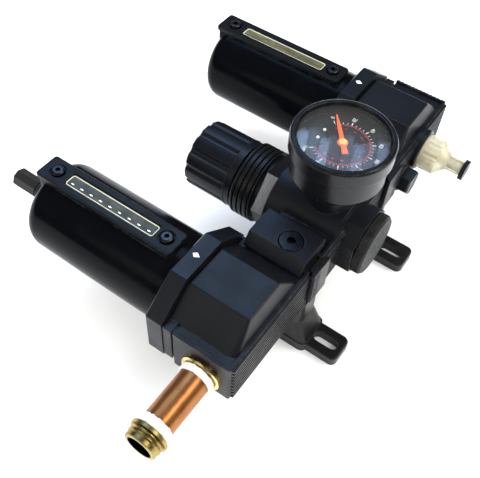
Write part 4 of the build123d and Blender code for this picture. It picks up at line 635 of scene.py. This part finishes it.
def add_tape(name, node, layers, ragged):
    """Tape wound in thin layers over the sleeve's place, each with its own ragged edges."""
    low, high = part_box(node)
    axis_y, axis_z = (low.y + high.y) / 2, (low.z + high.z) / 2
    outer = (high.z - low.z) / 2
    inner = outer - TAPE_THICK * MM
    base_r = outer - TAPE_BASE * MM
    last = TAPE_COLUMNS - 1
    bm = bmesh.new()
    for layer in range(layers):
        share = (layer + 1) / layers
        top = inner + (outer - inner) * share
        start = low.x + ragged * MM * (0.1 + 0.8 * random.random())
        end = high.x - ragged * MM * (0.1 + 0.9 * random.random()) * share
        rings = []
        for column in range(TAPE_COLUMNS):
            along = column / last
            ring = []
            for k in range(TAPE_STEPS):
                angle = math.tau * k / TAPE_STEPS
                spot = Vector((math.cos(angle), math.sin(angle), layer * 3.1 + along)) * 2.3
                x = start + (end - start) * along
                if column in (0, last):
                    x += noise.noise(spot * 2.2) * ragged * 0.9 * MM * (-1 if column else 1)
                edge_drop = EDGE_DROP * MM if column in (0, last) else 0.0
                r = top - edge_drop + noise.noise(spot * 1.7) * 0.12 * MM
                r = min(r, outer)
                ring.append((min(max(x, low.x), high.x), r, angle))
            rings.append(ring)
        verts_out = [
            [bm.verts.new((x, axis_y + r * math.cos(a), axis_z + r * math.sin(a))) for x, r, a in ring]
            for ring in rings
        ]
        ends = [
            [
                bm.verts.new((x, axis_y + base_r * math.cos(a), axis_z + base_r * math.sin(a)))
                for x, r, a in ring
            ]
            for ring in (rings[0], rings[-1])
        ]
        shells = [ends[0]] + verts_out + [ends[1], ends[0]]
        for first, second in zip(shells, shells[1:]):
            for k in range(TAPE_STEPS):
                j = (k + 1) % TAPE_STEPS
                bm.faces.new((first[k], first[j], second[j], second[k]))
    tape = add_piece(name, bm, tape_white, "housing")
    for polygon in tape.data.polygons:
        polygon.use_smooth = True
    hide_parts(node)


add_tape("inlet_tape", "inlet_sleeve", 3, 0.7)
add_tape("end_tape", "end_sleeve", 4, 1.1)


# ---- Stage -------------------------------------------------------------------------------------

FLOOR_HALF = 6.0
LOOK_AT = (0.0394, -0.0293, 0.0515)
AZIMUTH = 122.09
ELEVATION = 52.65
TILT = 4.0
CAMERA_DISTANCE = 0.3711
LENS_MM = 52.74
RING_FILL_R = 1.5
PANE_HEIGHT = 0.76
PANE_BACK = 0.735
PANE_PITCH = 0.023
PANE_SIZE = (0.115, 0.02)
PANE_POWERS = (0.05, 0.04, 0.016, 0.032, 0.008, 0.012, 0.03, 0.014, 0.022, 0.034)
PANE_BLUE = (0.42, 0.62, 1.0)
WORLD_COLOUR = (0.95, 0.97, 1.0, 1.0)
WORLD_STRENGTH = 0.06


def pale_floor():
    """A wide matt floor at the height of the part's lowest point."""
    s = Shader("floor_pale", (0.86, 0.86, 0.86), 0.9, Specular_IOR_Level=0.1)
    s.link(s.mix(s.noise(9, 3), (0.855, 0.857, 0.86), (0.865, 0.864, 0.86)), "Base Color")
    bm = bmesh.new()
    bmesh.ops.create_grid(bm, x_segments=1, y_segments=1, size=FLOOR_HALF)
    mesh = bpy.data.meshes.new("floor")
    bm.to_mesh(mesh)
    bm.free()
    mesh.materials.append(s.material)
    floor = bpy.data.objects.new("floor", mesh)
    floor.location.z = cad_box[0][2]
    bpy.context.scene.collection.objects.link(floor)


def area_light(name, place, target, size, power, colour):
    """A flat rectangular lamp at place that looks at target."""
    data = bpy.data.lights.new(name, "AREA")
    data.shape = "RECTANGLE"
    data.size, data.size_y = size
    data.energy = power
    data.color = colour
    light = bpy.data.objects.new(name, data)
    light.location = place
    aim = Vector(target) - Vector(place)
    light.rotation_euler = aim.to_track_quat("-Z", "Y").to_euler()
    bpy.context.scene.collection.objects.link(light)
    return light


def studio_camera(target, azimuth, elevation, roll, distance, lens):
    """A camera that looks at target. Azimuth 0 stands at -Y and 90 at +X."""
    az, el, tilt = (math.radians(a) for a in (azimuth, elevation, roll))
    outward = Vector((math.cos(el) * math.sin(az), -math.cos(el) * math.cos(az), math.sin(el)))
    level_right = Vector((math.cos(az), math.sin(az), 0))
    level_up = outward.cross(level_right)
    right = math.cos(tilt) * level_right + math.sin(tilt) * level_up
    up = outward.cross(right)
    place = Vector(target) + outward * distance
    data = bpy.data.cameras.new("camera")
    data.lens = lens
    data.sensor_width = 36.0
    camera = bpy.data.objects.new("camera", data)
    rotation = Matrix((right, up, outward)).transposed().to_4x4()
    camera.matrix_world = Matrix.Translation(place) @ rotation
    bpy.context.scene.collection.objects.link(camera)
    bpy.context.scene.camera = camera


def soft_fill(name, place, size, power):
    """A broad lamp that lights surfaces evenly and shows in no reflection."""
    lamp = area_light(name, place, (0.02, -0.04, 0.0), (size, size), power, (1.0, 1.0, 1.0))
    lamp.visible_glossy = False


pale_floor()
studio_camera(LOOK_AT, AZIMUTH, ELEVATION, TILT, CAMERA_DISTANCE, LENS_MM)

soft_fill("sky_fill", (0.0, 0.0, 1.5), 3.0, 50)
for turn in range(4):
    around = math.radians(45 + 90 * turn)
    place = (RING_FILL_R * math.cos(around), RING_FILL_R * math.sin(around), 0.9)
    soft_fill(f"ring_fill_{turn}", place, 1.4, 16)

# Narrow level lamps that look down and show as bluish streaks in the gauge's glass.
gauge_top = Vector((0, 0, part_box("gauge_lens")[1].z))
eye = bpy.context.scene.camera.location - gauge_top
level_way = Vector((eye.x, eye.y, 0)).normalized()
cross_way = Vector((-level_way.y, level_way.x, 0))
middle_pane = (len(PANE_POWERS) - 1) / 2
for column, power in enumerate(PANE_POWERS):
    back = PANE_BACK + 0.01 * (column % 3)
    place = gauge_top - level_way * back + cross_way * PANE_PITCH * (column - middle_pane)
    place.z += PANE_HEIGHT
    below = place - Vector((0, 0, 1))
    pane = area_light(f"pane_{column}", place, below, PANE_SIZE, power, PANE_BLUE)
    pane.rotation_euler.z = math.atan2(level_way.y, level_way.x)

area_light("sky_sheen", (-0.42, -0.65, 1.15), (-0.42, -0.65, 0.0), (0.6, 0.9), 7.5, (0.36, 0.58, 0.95))
area_light("back_card", (-0.3, 0.75, 1.15), (0.05, 0.0, 0.05), (0.6, 0.4), 5.0, (1.0, 0.97, 0.9))
area_light("side_fill", (1.1, -0.35, 0.6), (0.05, -0.03, 0.05), (0.6, 0.4), 1.0, (1.0, 0.97, 0.72))
area_light("tube_glint", (-0.53, 0.72, 0.92), (0.13, 0.0, 0.05), (0.1, 0.1), 2.2, (1.0, 0.94, 0.8))
area_light("glint", (0.5, 0.9, 1.1), (0.0, 0.0, 0.06), (0.12, 0.12), 1.2, (1.0, 1.0, 0.98))

world = bpy.data.worlds.new("studio")
bpy.context.scene.world = world
world.use_nodes = True
background = world.node_tree.nodes["Background"]
background.inputs["Color"].default_value = WORLD_COLOUR
background.inputs["Strength"].default_value = WORLD_STRENGTH
bpy.context.scene.view_settings.view_transform = "Standard"
